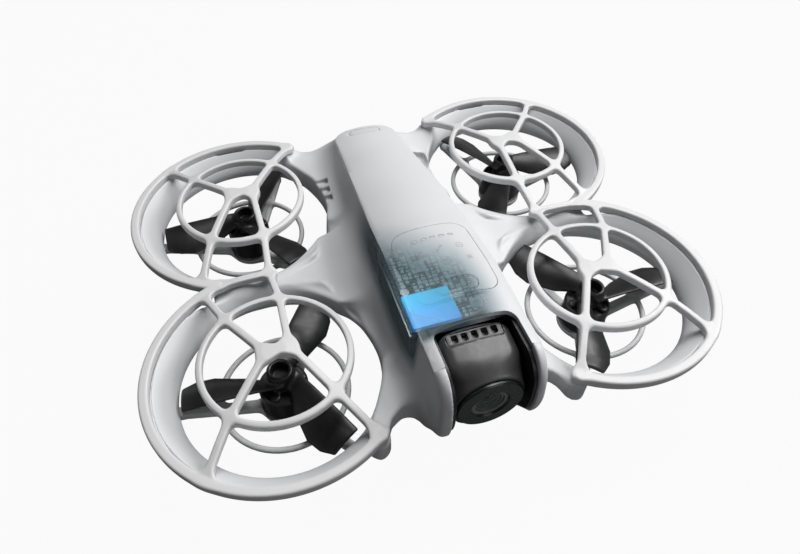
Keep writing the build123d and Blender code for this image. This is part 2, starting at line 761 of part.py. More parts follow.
with BuildPart() as camera_vent_panel:
    with BuildSketch(Plane.XY.offset(vent_panel_z)):
        with Locations((0, vent_panel_y)):
            RectangleRounded(*vent_panel_size, 0.8)
    extrude(amount=0.8)
    with BuildSketch(Plane.XY.offset(42.8)):
        with Locations((0, -45.8)):
            with GridLocations(light_pitch, 1, 5, 1):
                RectangleRounded(1.6, 1.9, 0.4)
    extrude(amount=1, mode=Mode.SUBTRACT)
camera_vent_panel.part.label = "camera_vent_panel"
export_step(camera_vent_panel.part, "parts/camera_vent_panel.step")

pin_inner_x, pin_length = 7.0, 4.9
with BuildPart() as tilt_pins:
    with BuildSketch(Plane.YZ.offset(pin_inner_x)):
        with Locations((tilt_y, tilt_z)):
            Circle(tilt_pin_radius)
    extrude(amount=pin_length)
    with BuildSketch(Plane.YZ.offset(-pin_inner_x)):
        with Locations((tilt_y, tilt_z)):
            Circle(tilt_pin_radius)
    extrude(amount=-pin_length)
tilt_pins.part.label = "tilt_pins"
export_step(tilt_pins.part, "parts/tilt_pins.step")

with BuildPart() as lens_plate:
    with BuildSketch(Plane.XZ.offset(-camera_front_y)):
        with Locations((0, lens_z)):
            Circle(lens_plate_radius)
            Circle(4.6, mode=Mode.SUBTRACT)
    extrude(amount=0.9)
    chamfer(lens_plate.edges().filter_by(GeomType.CIRCLE).group_by(Axis.Y)[0], 0.35)
lens_plate.part.label = "lens_plate"
export_step(lens_plate.part, "parts/lens_plate.step")

with BuildPart() as lens_barrel:
    with BuildSketch(Plane.XZ.offset(51)):
        with Locations((0, lens_z)):
            Circle(4.95)
    extrude(amount=7.3)
    with BuildSketch(Plane.XZ.offset(58.3)):
        with Locations((0, lens_z)):
            Circle(4.5)
    extrude(amount=0.5)
    with BuildSketch(Plane.XZ.offset(56)):
        with Locations((0, lens_z)):
            Circle(4.05)
    extrude(amount=5, mode=Mode.SUBTRACT)
lens_barrel.part.label = "lens_barrel"
export_step(lens_barrel.part, "parts/lens_barrel.step")

glass_radius = 4.0
glass_front_y = -58.7
glass_curve = 10.4              # radius of the front surface
with BuildPart() as lens_glass:
    with BuildSketch(Plane.XZ.offset(57.2)):
        with Locations((0, lens_z)):
            Circle(glass_radius)
    extrude(amount=3)
    with Locations((0, glass_front_y + glass_curve, lens_z)):
        Sphere(glass_curve, mode=Mode.INTERSECT)
lens_glass.part.label = "lens_glass"
export_step(lens_glass.part, "parts/lens_glass.step")

with BuildPart() as image_sensor_board:
    with BuildSketch(Plane.XZ.offset(48.2)):
        with Locations((0, lens_z + 1)):
            RectangleRounded(11.6, 10.4, 1)
    extrude(amount=1.0)
    with BuildSketch(Plane.XZ.offset(49.2)):
        with Locations((0, lens_z)):
            Rectangle(7.2, 5.6)
    extrude(amount=1.2)
image_sensor_board.part.label = "image_sensor_board"
export_step(image_sensor_board.part, "parts/image_sensor_board.step")

# ---------------------------------------------------------------- electronics
board_z = 35.6
board_front_y, board_back_y = -37.2, 6.5
board_half_width = 11.8
chip_size = (12.6, 10.6, 1.3)
chip_at = (-4.9, -31.6)
board_screw_points = [(-9.6, -24.6), (9.6, -24.6), (-9.6, 2.6), (9.6, 2.6)]

with BuildPart() as board_frame:
    with BuildSketch(Plane.XY.offset(board_z - 2.4)):
        with BuildLine():
            frame_edge = [
                (board_half_width + 0.5, board_front_y),
                (board_half_width + 0.5, -11.0),
                (board_half_width - 0.6, -8.6),
                (board_half_width - 0.6, board_back_y + 0.8),
            ]
            Polyline(mirrored(frame_edge), close=True)
        make_face()
    extrude(amount=1.4)
    for x, y in board_screw_points:
        with Locations((x, y, board_z - 1.0)):
            Cylinder(1.4, 0.4, align=(Align.CENTER, Align.CENTER, Align.MIN))
    for x in (-1, 1):
        with BuildSketch(Plane.XY.offset(20.8)):
            with Locations((x * 9.0, -30), (x * 9.0, 0)):
                Circle(1.6)
        extrude(amount=board_z - 2.4 - 20.8)
    with BuildSketch(Plane.XY.offset(board_z - 3)):
        with Locations(*board_screw_points):
            Circle(0.6)
    extrude(amount=5, mode=Mode.SUBTRACT)
board_frame.part.label = "board_frame"
export_step(board_frame.part, "parts/board_frame.step")

with BuildPart() as main_board:
    with BuildSketch(Plane.XY.offset(board_z - 0.6)):
        with BuildLine():
            board_edge = [
                (board_half_width, board_front_y + 0.5),
                (board_half_width, -11.4),
                (board_half_width - 1.2, -9.2),
                (board_half_width - 1.2, board_back_y),
            ]
            Polyline(mirrored(board_edge), close=True)
        make_face()
        with Locations(*board_screw_points):
            Circle(0.75, mode=Mode.SUBTRACT)
    extrude(amount=0.6)
main_board.part.label = "main_board"
export_step(main_board.part, "parts/main_board.step")

with BuildPart() as storage_chip:
    with BuildSketch(Plane.XY.offset(board_z)):
        with Locations(chip_at):
            RectangleRounded(chip_size[0], chip_size[1], 0.3)
    extrude(amount=chip_size[2])
storage_chip.part.label = "storage_chip"
export_step(storage_chip.part, "parts/storage_chip.step")

with BuildPart() as board_components:
    with BuildSketch(Plane.XY.offset(board_z)):
        with Locations((0, -14)):
            with GridLocations(3.1, 2.6, 6, 5):
                Rectangle(2.1, 1.5)
        with Locations((6.4, -29.4)):
            with GridLocations(2.6, 2.4, 3, 3):
                Rectangle(1.6, 1.2)
        with Locations((7.0, -34.6)):
            Rectangle(2.4, 3.4)
    extrude(amount=0.7)
    with BuildSketch(Plane.XY.offset(board_z)):
        with Locations((0, 0)):
            Rectangle(9, 5)
    extrude(amount=1.1)
board_components.part.label = "board_components"
export_step(board_components.part, "parts/board_components.step")

with BuildPart() as board_screws:
    for x, y in board_screw_points:
        with Locations((x, y, board_z)):
            Cylinder(1.2, 0.6, align=(Align.CENTER, Align.CENTER, Align.MIN))
        with Locations((x, y, board_z)):
            Cylinder(0.55, 2.2, align=(Align.CENTER, Align.CENTER, Align.MAX))
board_screws.part.label = "board_screws"
export_step(board_screws.part, "parts/board_screws.step")

with BuildPart() as speed_controller_board:
    with BuildSketch(Plane.XY.offset(22.4)):
        with Locations((0, 27)):
            RectangleRounded(17.5, 34, 1)
    extrude(amount=1.0)
    with BuildSketch(Plane.XY.offset(23.4)):
        with Locations((0, 25)):
            with GridLocations(7.6, 7.2, 2, 4):
                Rectangle(4.6, 4.6)
    extrude(amount=1.0)
    with BuildSketch(Plane.XY.offset(20.8)):
        with Locations((-6.5, 13), (6.5, 13), (-6.5, 41), (6.5, 41)):
            Circle(1.2)
    extrude(amount=1.6)
speed_controller_board.part.label = "speed_controller_board"
export_step(speed_controller_board.part, "parts/speed_controller_board.step")

with BuildPart() as antennas:
    for x in (-1, 1):
        with BuildSketch(Plane.YZ.offset(x * 9.9)):
            with Locations((20, 28)):
                Rectangle(16, 4)
        extrude(amount=-x * 0.5)
antennas.part.label = "antennas"
export_step(antennas.part, "parts/antennas.step")

with BuildPart() as usb_socket:
    with BuildSketch(Plane.YZ.offset(9.0)):
        with Locations((usb_y, usb_z)):
            RectangleRounded(*usb_size, 1.5)
    extrude(amount=5.2)
    with BuildSketch(Plane.YZ.offset(10.0)):
        with Locations((usb_y, usb_z)):
            RectangleRounded(usb_size[0] - 0.6, usb_size[1] - 0.6, 1.2)
    extrude(amount=6, mode=Mode.SUBTRACT)
    with BuildSketch(Plane.YZ.offset(9.5)):
        with Locations((usb_y, usb_z)):
            Rectangle(6.6, 0.7)
    extrude(amount=4.2)
usb_socket.part.label = "usb_socket"
export_step(usb_socket.part, "parts/usb_socket.step")

# ---------------------------------------------------------------- belly
belly_screw_points = [(x, belly_y + y) for x in (-belly_screw_x, belly_screw_x)
                      for y in (-belly_screw_y, belly_screw_y)]
distance_points = [(distance_x, belly_y + distance_y), (distance_x, belly_y - distance_y)]

with BuildPart() as belly_cover:
    with BuildSketch(Plane.XY):
        with Locations((0, belly_y)):
            RectangleRounded(*belly_size, 1.5)
    extrude(amount=1.6)
    with BuildSketch(Plane.XY.offset(-1)):
        with Locations((vision_x, belly_y)):
            Circle(3.3)
        with Locations(*distance_points):
            Circle(1.75)
        with Locations(*belly_screw_points):
            Circle(0.7)
    extrude(amount=4, mode=Mode.SUBTRACT)
belly_cover.part.label = "belly_cover"
export_step(belly_cover.part, "parts/belly_cover.step")

with BuildPart() as belly_screws:
    for x, y in belly_screw_points:
        with Locations((x, y, 0.3)):
            Cylinder(0.68, 1.3, align=(Align.CENTER, Align.CENTER, Align.MIN))
        with Locations((x, y, 1.6)):
            Cylinder(0.5, 2.4, align=(Align.CENTER, Align.CENTER, Align.MIN))
belly_screws.part.label = "belly_screws"
export_step(belly_screws.part, "parts/belly_screws.step")

with BuildPart() as vision_camera:
    with BuildSketch(Plane.XY.offset(0.3)):
        with Locations((vision_x, belly_y)):
            Circle(3.25)
    extrude(amount=2.7)
    with BuildSketch(Plane.XY.offset(3.0)):
        with Locations((vision_x, belly_y)):
            Rectangle(8.4, 8.4)
    extrude(amount=4.5)
    with BuildSketch(Plane.XY.offset(0.2)):
        with Locations((vision_x, belly_y)):
            Circle(1.8)
    extrude(amount=0.8, mode=Mode.SUBTRACT)
vision_camera.part.label = "vision_camera"
export_step(vision_camera.part, "parts/vision_camera.step")

with BuildPart() as distance_sensor:
    with BuildSketch(Plane.XY.offset(0.3)):
        with Locations(*distance_points):
            Circle(1.7)
    extrude(amount=2.4)
    with BuildSketch(Plane.XY.offset(2.7)):
        with Locations((distance_x, belly_y)):
            Rectangle(5.4, 10.4)
    extrude(amount=2.2)
distance_sensor.part.label = "distance_sensor"
export_step(distance_sensor.part, "parts/distance_sensor.step")

# ---------------------------------------------------------------- battery
latch_y, latch_z = 48.0, 8.6
latch_size = (5.6, 5.0)
latch_travel = 0.8
latch_pocket_x = 12.6           # floor of the latches' pockets
cells_y = 14.0
cell_size = (12.6, 50.0)
contact_z, contact_pitch = 15.0, 2.6

# Tail of the battery: it carries on the fuselage's outline
with BuildPart() as tail_block:
    add(fuselage_form.part)
    with BuildSketch(Plane.XY):
        with Locations((0, tail_block_y + 10.3)):
            Rectangle(60, 20)
    extrude(amount=tail_block_top, mode=Mode.INTERSECT)

with BuildPart() as battery_case:
    with BuildSketch(Plane.XY):
        with Locations((0, (battery_front_y + tail_block_y + 0.4) / 2)):
            Rectangle(2 * battery_half_width, tail_block_y + 0.4 - battery_front_y)
    extrude(amount=battery_top)
    fillet(battery_case.edges().filter_by(Axis.Y).group_by(Axis.Z)[-1], 1.0)
    # Grooves for the airframe's rails
    for side in (-1, 1):
        with BuildSketch(Plane.XY.offset(9.0)):
            with Locations((side * battery_half_width, 11)):
                Rectangle(2.4, 62)
        extrude(amount=2.0, mode=Mode.SUBTRACT)
    # Room for the cells
    with BuildSketch(Plane.XY.offset(1.4)):
        with Locations((0, cells_y)):
            Rectangle(26.4, cell_size[1] + 2)
    extrude(amount=16.2, mode=Mode.SUBTRACT)
    add(tail_block.part)
    # Pockets of the two latches
    for side in (-1, 1):
        with BuildSketch(Plane.YZ.offset(side * latch_pocket_x)):
            with Locations((latch_y, latch_z)):
                RectangleRounded(latch_size[0] + 0.3, latch_size[1] + 0.3, 1.0)
        extrude(amount=side * 8, mode=Mode.SUBTRACT)
    # Slots of the contacts in the front face
    with BuildSketch(Plane.XZ.offset(-battery_front_y)):
        with Locations((0, contact_z)):
            with GridLocations(contact_pitch, 1, 5, 1):
                Rectangle(1.0, 3.4)
    extrude(amount=-0.5, mode=Mode.SUBTRACT)
battery_case.part.label = "battery_case"
export_step(battery_case.part, "parts/battery_case.step")

with BuildPart() as battery_cells:
    for x in (-6.6, 6.6):
        with BuildSketch(Plane.XY.offset(2.0)):
            with Locations((x, cells_y)):
                RectangleRounded(*cell_size, 1.5)
        extrude(amount=15)
battery_cells.part.label = "battery_cells"
export_step(battery_cells.part, "parts/battery_cells.step")

with BuildPart() as battery_contacts:
    with BuildSketch(Plane.XZ.offset(-battery_front_y)):
        with Locations((0, contact_z)):
            with GridLocations(contact_pitch, 1, 5, 1):
                Rectangle(0.9, 3.2)
    extrude(amount=-0.45)
battery_contacts.part.label = "battery_contacts"
export_step(battery_contacts.part, "parts/battery_contacts.step")

with BuildPart() as battery_connector:
    with BuildSketch(Plane.XZ.offset(-battery_front_y + 0.2)):
        with Locations((0, contact_z)):
            with GridLocations(contact_pitch, 1, 5, 1):
                Rectangle(0.8, 2.6)
    extrude(amount=0.6)
battery_connector.part.label = "battery_connector"
export_step(battery_connector.part, "parts/battery_connector.step")

for latch_name, side in (("battery_latch_left", 1), ("battery_latch_right", -1)):
    with BuildPart() as latch:
        with BuildSketch(Plane.YZ.offset(side * (latch_pocket_x + latch_travel + 0.1))):
            with Locations((latch_y, latch_z)):
                RectangleRounded(*latch_size, 0.9)
        extrude(amount=side * 3.0)
        with BuildSketch(Plane.YZ.offset(side * (latch_pocket_x + latch_travel + 3.0))):
            with Locations((latch_y, latch_z)):
                with GridLocations(1.5, 1, 3, 1):
                    Rectangle(0.6, 3.4)
        extrude(amount=side * 0.4)
    latch.part.label = latch_name
    export_step(latch.part, f"parts/{latch_name}.step")
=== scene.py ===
import math

import bmesh
import bpy
import numpy as np
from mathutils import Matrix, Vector


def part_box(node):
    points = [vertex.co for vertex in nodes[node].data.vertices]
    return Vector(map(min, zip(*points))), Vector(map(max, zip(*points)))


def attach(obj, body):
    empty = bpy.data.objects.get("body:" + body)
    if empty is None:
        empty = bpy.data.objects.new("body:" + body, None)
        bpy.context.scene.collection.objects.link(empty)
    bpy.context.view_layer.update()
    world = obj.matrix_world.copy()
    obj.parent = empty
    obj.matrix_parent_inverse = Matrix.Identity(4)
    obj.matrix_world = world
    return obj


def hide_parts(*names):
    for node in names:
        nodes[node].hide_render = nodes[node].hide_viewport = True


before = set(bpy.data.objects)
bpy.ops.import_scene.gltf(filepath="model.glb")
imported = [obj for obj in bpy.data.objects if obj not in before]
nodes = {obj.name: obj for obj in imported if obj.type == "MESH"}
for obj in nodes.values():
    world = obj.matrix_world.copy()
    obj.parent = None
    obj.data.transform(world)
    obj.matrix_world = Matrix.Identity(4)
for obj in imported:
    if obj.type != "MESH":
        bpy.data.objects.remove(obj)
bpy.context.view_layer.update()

# Mini palm drone. Lengths are millimetres until a mesh is made, which is in metres.
# The organic mouldings are built as signed distance fields and turned into meshes,
# the plates on the spine are cut from outlines, and the rest keeps its CAD shape.

MM = 0.001

# ---------------------------------------------------------------- sizes
corners = ("front_left", "front_right", "rear_left", "rear_right")


def box_mm(node):
    low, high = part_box(node)
    return low / MM, high / MM


def rotor_centre(corner):
    low, high = box_mm(f"motor_bell_{corner}")
    return (low.x + high.x) / 2, (low.y + high.y) / 2


rotor_x, rotor_y = rotor_centre("rear_left")
guard_high = box_mm("guard_left")[1]
rim_radius = guard_high.x - rotor_x
rim_top = 28.5
spine_top = box_mm("top_cover")[1].z
spine_peak_y = -30.0
spine_drop = 13.8
crown_radius = 29.0
crease_half_width = 12.8
tail_crease_half_width = 10.3
duct_floor = 18.5
knee_half_width = 17.6
cover_thickness = 1.5
cover_front_y, cover_back_y = -54.6, 51.55
seam = 0.12

throat_radius = 26.0
lip_radius = 31.0
lip_top = 27.2
duct_wall = 1.5

corner_angle = math.radians(234)
corner_reach = 32.4
waist_post_x = 51.0

notch_half_width = 10.2
notch_back_y = -45.0
tilt_y, tilt_z = -51.0, 33.5
lens_z = 31.9
camera_front_y, camera_back_y = -58.4, -44.8
camera_half_width = 8.8

panel_half_width = 10.3
panel_front_y, panel_back_y = -38.2, -12.8
mode_y, mode_size = -35.2, (10.4, 4.0)
power_y, power_size = 48.3, (10.4, 3.2)
lights_y, light_pitch = -17.6, 2.45
icon_places = [(-5.2, -22.4), (0.2, -22.3), (5.6, -22.4), (0.7, -27.2), (6.4, -27.3)]


def spine_z(y):
    """Height of the spine's middle line."""
    behind = np.maximum(y - spine_peak_y, 0) / 80
    ahead = np.maximum(spine_peak_y - y, 0) / 15
    return spine_top - 0.1 - spine_drop * behind ** 1.2 - 0.5 * np.minimum(ahead, 1) ** 2


def crease_x(y):
    """Half width of the spine at its sharp edge."""
    taper = np.clip((y + 5) / 55, 0, 1)
    return crease_half_width + (tail_crease_half_width - crease_half_width) * taper


def crown_z(x, y):
    return spine_z(y) - x ** 2 / (2 * crown_radius)


def knee_x(y):
    """Half width of the flank at the ducts' floor."""
    nose = np.minimum(0, y + 38) * 0.32
    tail = np.maximum(0, y - 40) * 0.1
    return np.maximum(knee_half_width + nose - tail, 13.6)


def arc(start, through, end, count=10):
    """Points on the circular arc through three points."""
    (ax, ay), (bx, by), (cx, cy) = start, through, end
    turn = 2 * (ax * (by - cy) + bx * (cy - ay) + cx * (ay - by))
    a2, b2, c2 = ax * ax + ay * ay, bx * bx + by * by, cx * cx + cy * cy
    mid_x = (a2 * (by - cy) + b2 * (cy - ay) + c2 * (ay - by)) / turn
    mid_y = (a2 * (cx - bx) + b2 * (ax - cx) + c2 * (bx - ax)) / turn
    first = math.atan2(ay - mid_y, ax - mid_x)
    middle = (math.atan2(by - mid_y, bx - mid_x) - first) % (2 * math.pi)
    last = (math.atan2(cy - mid_y, cx - mid_x) - first) % (2 * math.pi)
    sweep = last if middle <= last else last - 2 * math.pi
    radius = math.hypot(ax - mid_x, ay - mid_y)
    angles = [first + sweep * n / count for n in range(count + 1)]
    return [(mid_x + radius * math.cos(t), mid_y + radius * math.sin(t)) for t in angles]


def rounded_rectangle(x, y, width, length, corner, count=6):
    """Outline of a rounded rectangle, anticlockwise."""
    points = []
    for quarter, (sx, sy) in enumerate(((1, 1), (-1, 1), (-1, -1), (1, -1))):
        cx, cy = x + sx * (width / 2 - corner), y + sy * (length / 2 - corner)
        for n in range(count + 1):
            t = math.radians(90 * (quarter + n / count))
            points.append((cx + corner * math.cos(t), cy + corner * math.sin(t)))
    return points


# ---------------------------------------------------------------- distance fields
def smooth_min(a, b, blend):
    """The lesser of two distances, with a fillet about as wide as blend."""
    near = np.maximum(1 - np.abs(a - b) / blend, 0)
    return np.minimum(a, b) - 0.25 * blend * near * near


def smooth_max(a, b, blend):
    return -smooth_min(-a, -b, blend)


def corner_distance(a, b):
    """Distance to the corner between two faces, from the distances to the faces."""
    return np.hypot(np.maximum(a, 0), np.maximum(b, 0)) + np.minimum(np.maximum(a, b), 0)


def smooth_step(value, start, end):
    share = np.clip((value - start) / (end - start), 0, 1)
    return share * share * (3 - 2 * share)


def slab(z, low, high):
    return np.abs(z - (low + high) / 2) - (high - low) / 2


class Field:
    """Signed distances on a grid, negative inside the solid."""

    def __init__(self, low, high, step):
        self.step = step
        self.axes = [
            np.arange(a, b + step, step, dtype=np.float32) for a, b in zip(low, high)
        ]
        self.values = np.full([len(a) for a in self.axes], 50, np.float32)

    def block(self, low, high, margin):
        """The part of the grid between two corners: its slices and its coordinates."""
        cuts, places = [], []
        for n, axis in enumerate(self.axes):
            first, last = np.searchsorted(axis, (low[n] - margin, high[n] + margin))
            cuts.append(slice(first, last))
            shape = [1, 1, 1]
            shape[n] = -1
            places.append(axis[first:last].reshape(shape))
        return tuple(cuts), places

    def join(self, shape, low, high, blend=0.4, local=None):
        """Adds a shape; local gives a narrower blend from the coordinates."""
        part, places = self.block(low, high, blend + 2 * self.step)
        width = local(*places) if local else blend
        self.values[part] = smooth_min(self.values[part], shape(*places), width)

    def cut(self, shape, low, high, blend=0.4):
        part, places = self.block(low, high, blend + 2 * self.step)
        self.values[part] = smooth_max(self.values[part], -shape(*places), blend)

    def mirror(self, axis):
        """Adds the mirror image on the negative side of an axis whose grid starts at 0."""
        flipped = np.flip(self.values, axis)
        keep = [slice(None)] * 3
        keep[axis] = slice(0, -1)
        self.values = np.concatenate((flipped[tuple(keep)], self.values), axis)
        places = self.axes[axis]
        self.axes[axis] = np.concatenate((-places[:0:-1], places))


def sample(field, points):
    """Trilinear values of a field at points in grid units."""
    shape = np.array(field.shape)
    points = np.clip(points, 0, shape - 1.001)
    base = points.astype(np.int64)
    part = (points - base).astype(np.float32)
    flat = field.ravel()
    stride = (shape[1] * shape[2], shape[2], 1)
    start = base @ np.array(stride)
    total = 0
    for dx in (0, 1):
        for dy in (0, 1):
            for dz in (0, 1):
                weight = (
                    (part[:, 0] if dx else 1 - part[:, 0])
                    * (part[:, 1] if dy else 1 - part[:, 1])
                    * (part[:, 2] if dz else 1 - part[:, 2])
                )
                total = total + weight * flat[start + dx * stride[0] + dy * stride[1] + dz]
    return total


def isosurface(field, rounds=2):
    """Points in millimetres and quads of the field's zero surface."""
    values = field.values
    shape = np.array(values.shape)
    edge_cells, edge_points, quad_sets = [], [], []
    for axis in range(3):
        lower, upper = [slice(None)] * 3, [slice(None)] * 3
        lower[axis], upper[axis] = slice(0, -1), slice(1, None)
        a, b = values[tuple(lower)], values[tuple(upper)]
        found = np.argwhere((a < 0) != (b < 0))
        others = [n for n in range(3) if n != axis]
        inside_grid = np.all(
            (found[:, others] > 0) & (found[:, others] < shape[others] - 1), axis=1)
        found = found[inside_grid]
        start, end = a[tuple(found.T)], b[tuple(found.T)]
        point = found.astype(float)
        point[:, axis] += start / (start - end)
        ring = []
        for du, dv in ((0, 0), (1, 0), (1, 1), (0, 1)):
            cell = found.copy()
            cell[:, others[0]] -= du
            cell[:, others[1]] -= dv
            ring.append(cell @ np.array((shape[1] * shape[2], shape[2], 1)))
        ring = np.stack(ring, 1)
        turned = (start >= 0) != (axis == 1)
        ring[turned] = ring[turned][:, ::-1]
        quad_sets.append(ring)
        edge_cells.append(ring.ravel())
        edge_points.append(np.repeat(point, 4, axis=0))
    index = np.unique(np.concatenate(edge_cells), return_inverse=True)[1]
    spread = np.concatenate(edge_points)
    count = np.bincount(index)
    points = np.stack(
        [np.bincount(index, weights=spread[:, n]) / count for n in range(3)], 1)
    quads = index.reshape(-1, 4)
    for _ in range(rounds):
        points = relaxed(points, quads)
        points = settled(values, points)
    low = np.array([axis[0] for axis in field.axes])
    return low + points * field.step, quads


def relaxed(points, quads):
    """Points moved halfway to the middle of their neighbours."""
    total = np.zeros_like(points)
    count = np.zeros(len(points))
    for n in range(4):
        here, there = quads[:, n], quads[:, (n + 1) % 4]
        for axis in range(3):
            total[:, axis] += np.bincount(here, points[there, axis], len(points))
            total[:, axis] += np.bincount(there, points[here, axis], len(points))
        count += np.bincount(here, minlength=len(points))
        count += np.bincount(there, minlength=len(points))
    return (points + total / count[:, None]) / 2


def settled(values, points):
    """Points moved along the gradient onto the zero surface."""
    reach = 0.5
    slopes = []
    for axis in range(3):
        step = np.zeros(3)
        step[axis] = reach
        slopes.append(sample(values, points + step) - sample(values, points - step))
    slope = np.stack(slopes, 1)
    steep = np.maximum((slope ** 2).sum(1), 1e-4)
    move = slope * (sample(values, points) / steep)[:, None]
    far = np.maximum(np.linalg.norm(move, axis=1) / 0.6, 1)
    return points - move / far[:, None]


def disc(x0, y0, low, high, radius, corner=0.4):
    def distance(x, y, z):
        across = np.hypot(x - x0, y - y0) - radius + corner
        return corner_distance(across, slab(z, low, high) + corner) - corner
    return distance


def block(low, high, corner=0.3):
    """Rounded box between two corners."""
    def distance(x, y, z):
        a, b, c = (slab(v, low[n], high[n]) + corner for n, v in enumerate((x, y, z)))
        return corner_distance(corner_distance(a, b), c) - corner
    return distance


def ring(x0, y0, radius, width, low, high, corner, middle=0.0, half=math.pi):
    """Ring, or an arc of one, with a rounded section; middle and half are angles."""
    end_x, end_y = radius * math.cos(half), radius * math.sin(half)

    def distance(x, y, z):
        dx, dy = x - x0, y - y0
        along = dx * math.cos(middle) + dy * math.sin(middle)
        aside = np.abs(dy * math.cos(middle) - dx * math.sin(middle))
        on_arc = np.abs(np.arctan2(aside, along)) <= half
        off = np.where(on_arc, np.abs(np.hypot(along, aside) - radius),
                       np.hypot(along - end_x, aside - end_y))
        return corner_distance(off - width / 2 + corner, slab(z, low, high) + corner) - corner
    return distance


def bar(start, end, width, height, corner=0.9, taper=1.0):
    """Straight bar with a rounded section, level across; taper scales its far end."""
    start, end = np.array(start, float), np.array(end, float)
    long = np.linalg.norm(end - start)
    along = (end - start) / long
    across = np.array((-along[1], along[0], 0)) / math.hypot(along[0], along[1])
    up = np.cross(along, across)

    def distance(x, y, z):
        dx, dy, dz = x - start[0], y - start[1], z - start[2]
        run = dx * along[0] + dy * along[1] + dz * along[2]
        past = run - np.clip(run, 0, long)
        size = 1 + (taper - 1) * np.clip(run / long, 0, 1)
        side = np.abs(dx * across[0] + dy * across[1]) - (width / 2) * size + corner
        rise = np.abs(dx * up[0] + dy * up[1] + dz * up[2]) - height / 2 + corner
        return corner_distance(corner_distance(side, rise), np.abs(past)) - corner
    return distance


def outline_distance(points):
    """Signed distance to a closed outline in its own plane."""
    def distance(u, v):
        nearest, sign = np.inf, 1.0
        for (ax, ay), (bx, by) in zip(points, points[1:] + points[:1]):
            ex, ey, wx, wy = bx - ax, by - ay, u - ax, v - ay
            t = np.clip((wx * ex + wy * ey) / (ex * ex + ey * ey), 0, 1)
            nearest = np.minimum(nearest, (wx - ex * t) ** 2 + (wy - ey * t) ** 2)
            above, below, left = v >= ay, v < by, ex * wy > ey * wx
            crossed = (above & below & left) | (~above & ~below & ~left)
            sign = np.where(crossed, -sign, sign)
        return sign * np.sqrt(nearest)
    return distance


def prism(points, low, high, corner=0.3):
    plan = outline_distance(points)

    def distance(x, y, z):
        return corner_distance(plan(x, y) + corner, slab(z, low, high) + corner) - corner
    return distance


# ---------------------------------------------------------------- pieces
def new_piece(name, mesh, body, replaced=(), material=None):
    """A mesh that rides on a body and takes the place of CAD nodes."""
    piece = bpy.data.objects.new(name, mesh)
    bpy.context.scene.collection.objects.link(piece)
    if material:
        mesh.materials.append(material)
    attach(piece, body)
    if replaced:
        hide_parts(*replaced)
    return piece


def make_mesh(name, points, faces):
    """Smooth mesh in metres from points in millimetres and an array of quads."""
    mesh = bpy.data.meshes.new(name)
    faces = np.asarray(faces)
    mesh.vertices.add(len(points))
    mesh.vertices.foreach_set("co", (np.asarray(points) * MM).astype(np.float32).ravel())
    mesh.loops.add(faces.size)
    mesh.loops.foreach_set("vertex_index", faces.astype(np.int32).ravel())
    mesh.polygons.add(len(faces))
    mesh.polygons.foreach_set("loop_start", np.arange(0, faces.size, 4, dtype=np.int32))
    mesh.update(calc_edges=True)
    mesh.validate()
    mesh.shade_smooth()
    return mesh


def thinned(mesh, ratio):
    """The same mesh with fewer faces where it is flat."""
    holder = bpy.data.objects.new("thinning", mesh)
    bpy.context.scene.collection.objects.link(holder)
    modifier = holder.modifiers.new("thin", "DECIMATE")
    modifier.ratio = ratio
    graph = bpy.context.evaluated_depsgraph_get()
    thin = bpy.data.meshes.new_from_object(holder.evaluated_get(graph))
    bpy.data.objects.remove(holder)
    thin.shade_smooth()
    return thin


# ---------------------------------------------------------------- airframe
side_profile = (
    [(-54.7, 60)]
    + [(-54.7 - 6.7 * math.sin(t), 35.5 + 10.4 * math.cos(t))
       for t in np.linspace(0, math.pi / 2, 13)]
    + arc((-61.4, 35.5), (-61.5, 30.0), (-60.4, 25.1))[1:]
    + [(-53, 16.5), (-46, 10.2)]
    + arc((-46, 10.2), (-41, 4.2), (-34, 0))
    + [(48, 0)]
    + arc((48, 0), (52.6, 2.6), (54, 7.5))
    + [(54.2, 26)]
    + arc((54.2, 26), (53.4, 30.2), (51.6, 33.2))
    + [(51.6, 60)]
)
# Repeated corners between arcs are dropped.
side_profile = [p for p, q in zip(side_profile, side_profile[1:] + side_profile[:1])
                if math.dist(p, q) > 0.01]
side_distance = outline_distance(side_profile)


def fuselage(x, y, z):
    """Outer form under the spine: flanks, belly, nose and tail."""
    x = np.abs(x)
    edge_x, knee = crease_x(y), knee_x(y)
    edge_z = crown_z(edge_x, y)
    section = [(edge_x, edge_z), (knee, duct_floor), (knee - 1, 8.5),
               (knee - 3, 2.2), (knee - 5.4, 0)]
    solid = None
    for (x0, z0), (x1, z1) in zip(section, section[1:]):
        long = np.hypot(x1 - x0, z1 - z0)
        face = ((x - x0) * (z0 - z1) + (z - z0) * (x1 - x0)) / long
        solid = face if solid is None else smooth_max(solid, face, 1.2)
    rounding = 2.4 + 2.6 * smooth_step(y, 5, 35)
    solid = smooth_max(solid, side_distance(y, z), rounding)
    inset = np.minimum(edge_x - x, cover_back_y - y)
    mitre = (z - crown_z(np.minimum(x, edge_x), y) + inset) / math.sqrt(2) + seam
    return np.maximum(solid, np.where(y < cover_front_y - 0.06, -5, mitre))


def flare_radius(z):
    """Inner radius of a duct at a height: straight throat, then the bellmouth."""
    up = np.clip((z - 20.2) / (lip_top - 20.2), 0, 1)
    return throat_radius + (lip_radius - throat_radius) * up ** 1.75


def duct(x0, y0):
    """Throat and bellmouth of one duct, which sinks into the web beside the fuselage."""
    def distance(x, y, z):
        radius = np.hypot(x - x0, y - y0)
        inner = (flare_radius(z) - radius) * 0.75
        outer = (radius - flare_radius(z + 0.3) - duct_wall) * 0.75
        outer = np.maximum(outer, radius - lip_radius - 0.1)
        top = 20.6 + (lip_top - 20.6) * smooth_step(np.abs(x), 21.5, 28.5)
        top = top - 2.6 * (1 - smooth_step(np.abs(y), 1.0, 9.0))
        ends = np.maximum(z - top, duct_floor - z)
        return smooth_max(np.maximum(inner, outer), ends, 0.6)
    return distance


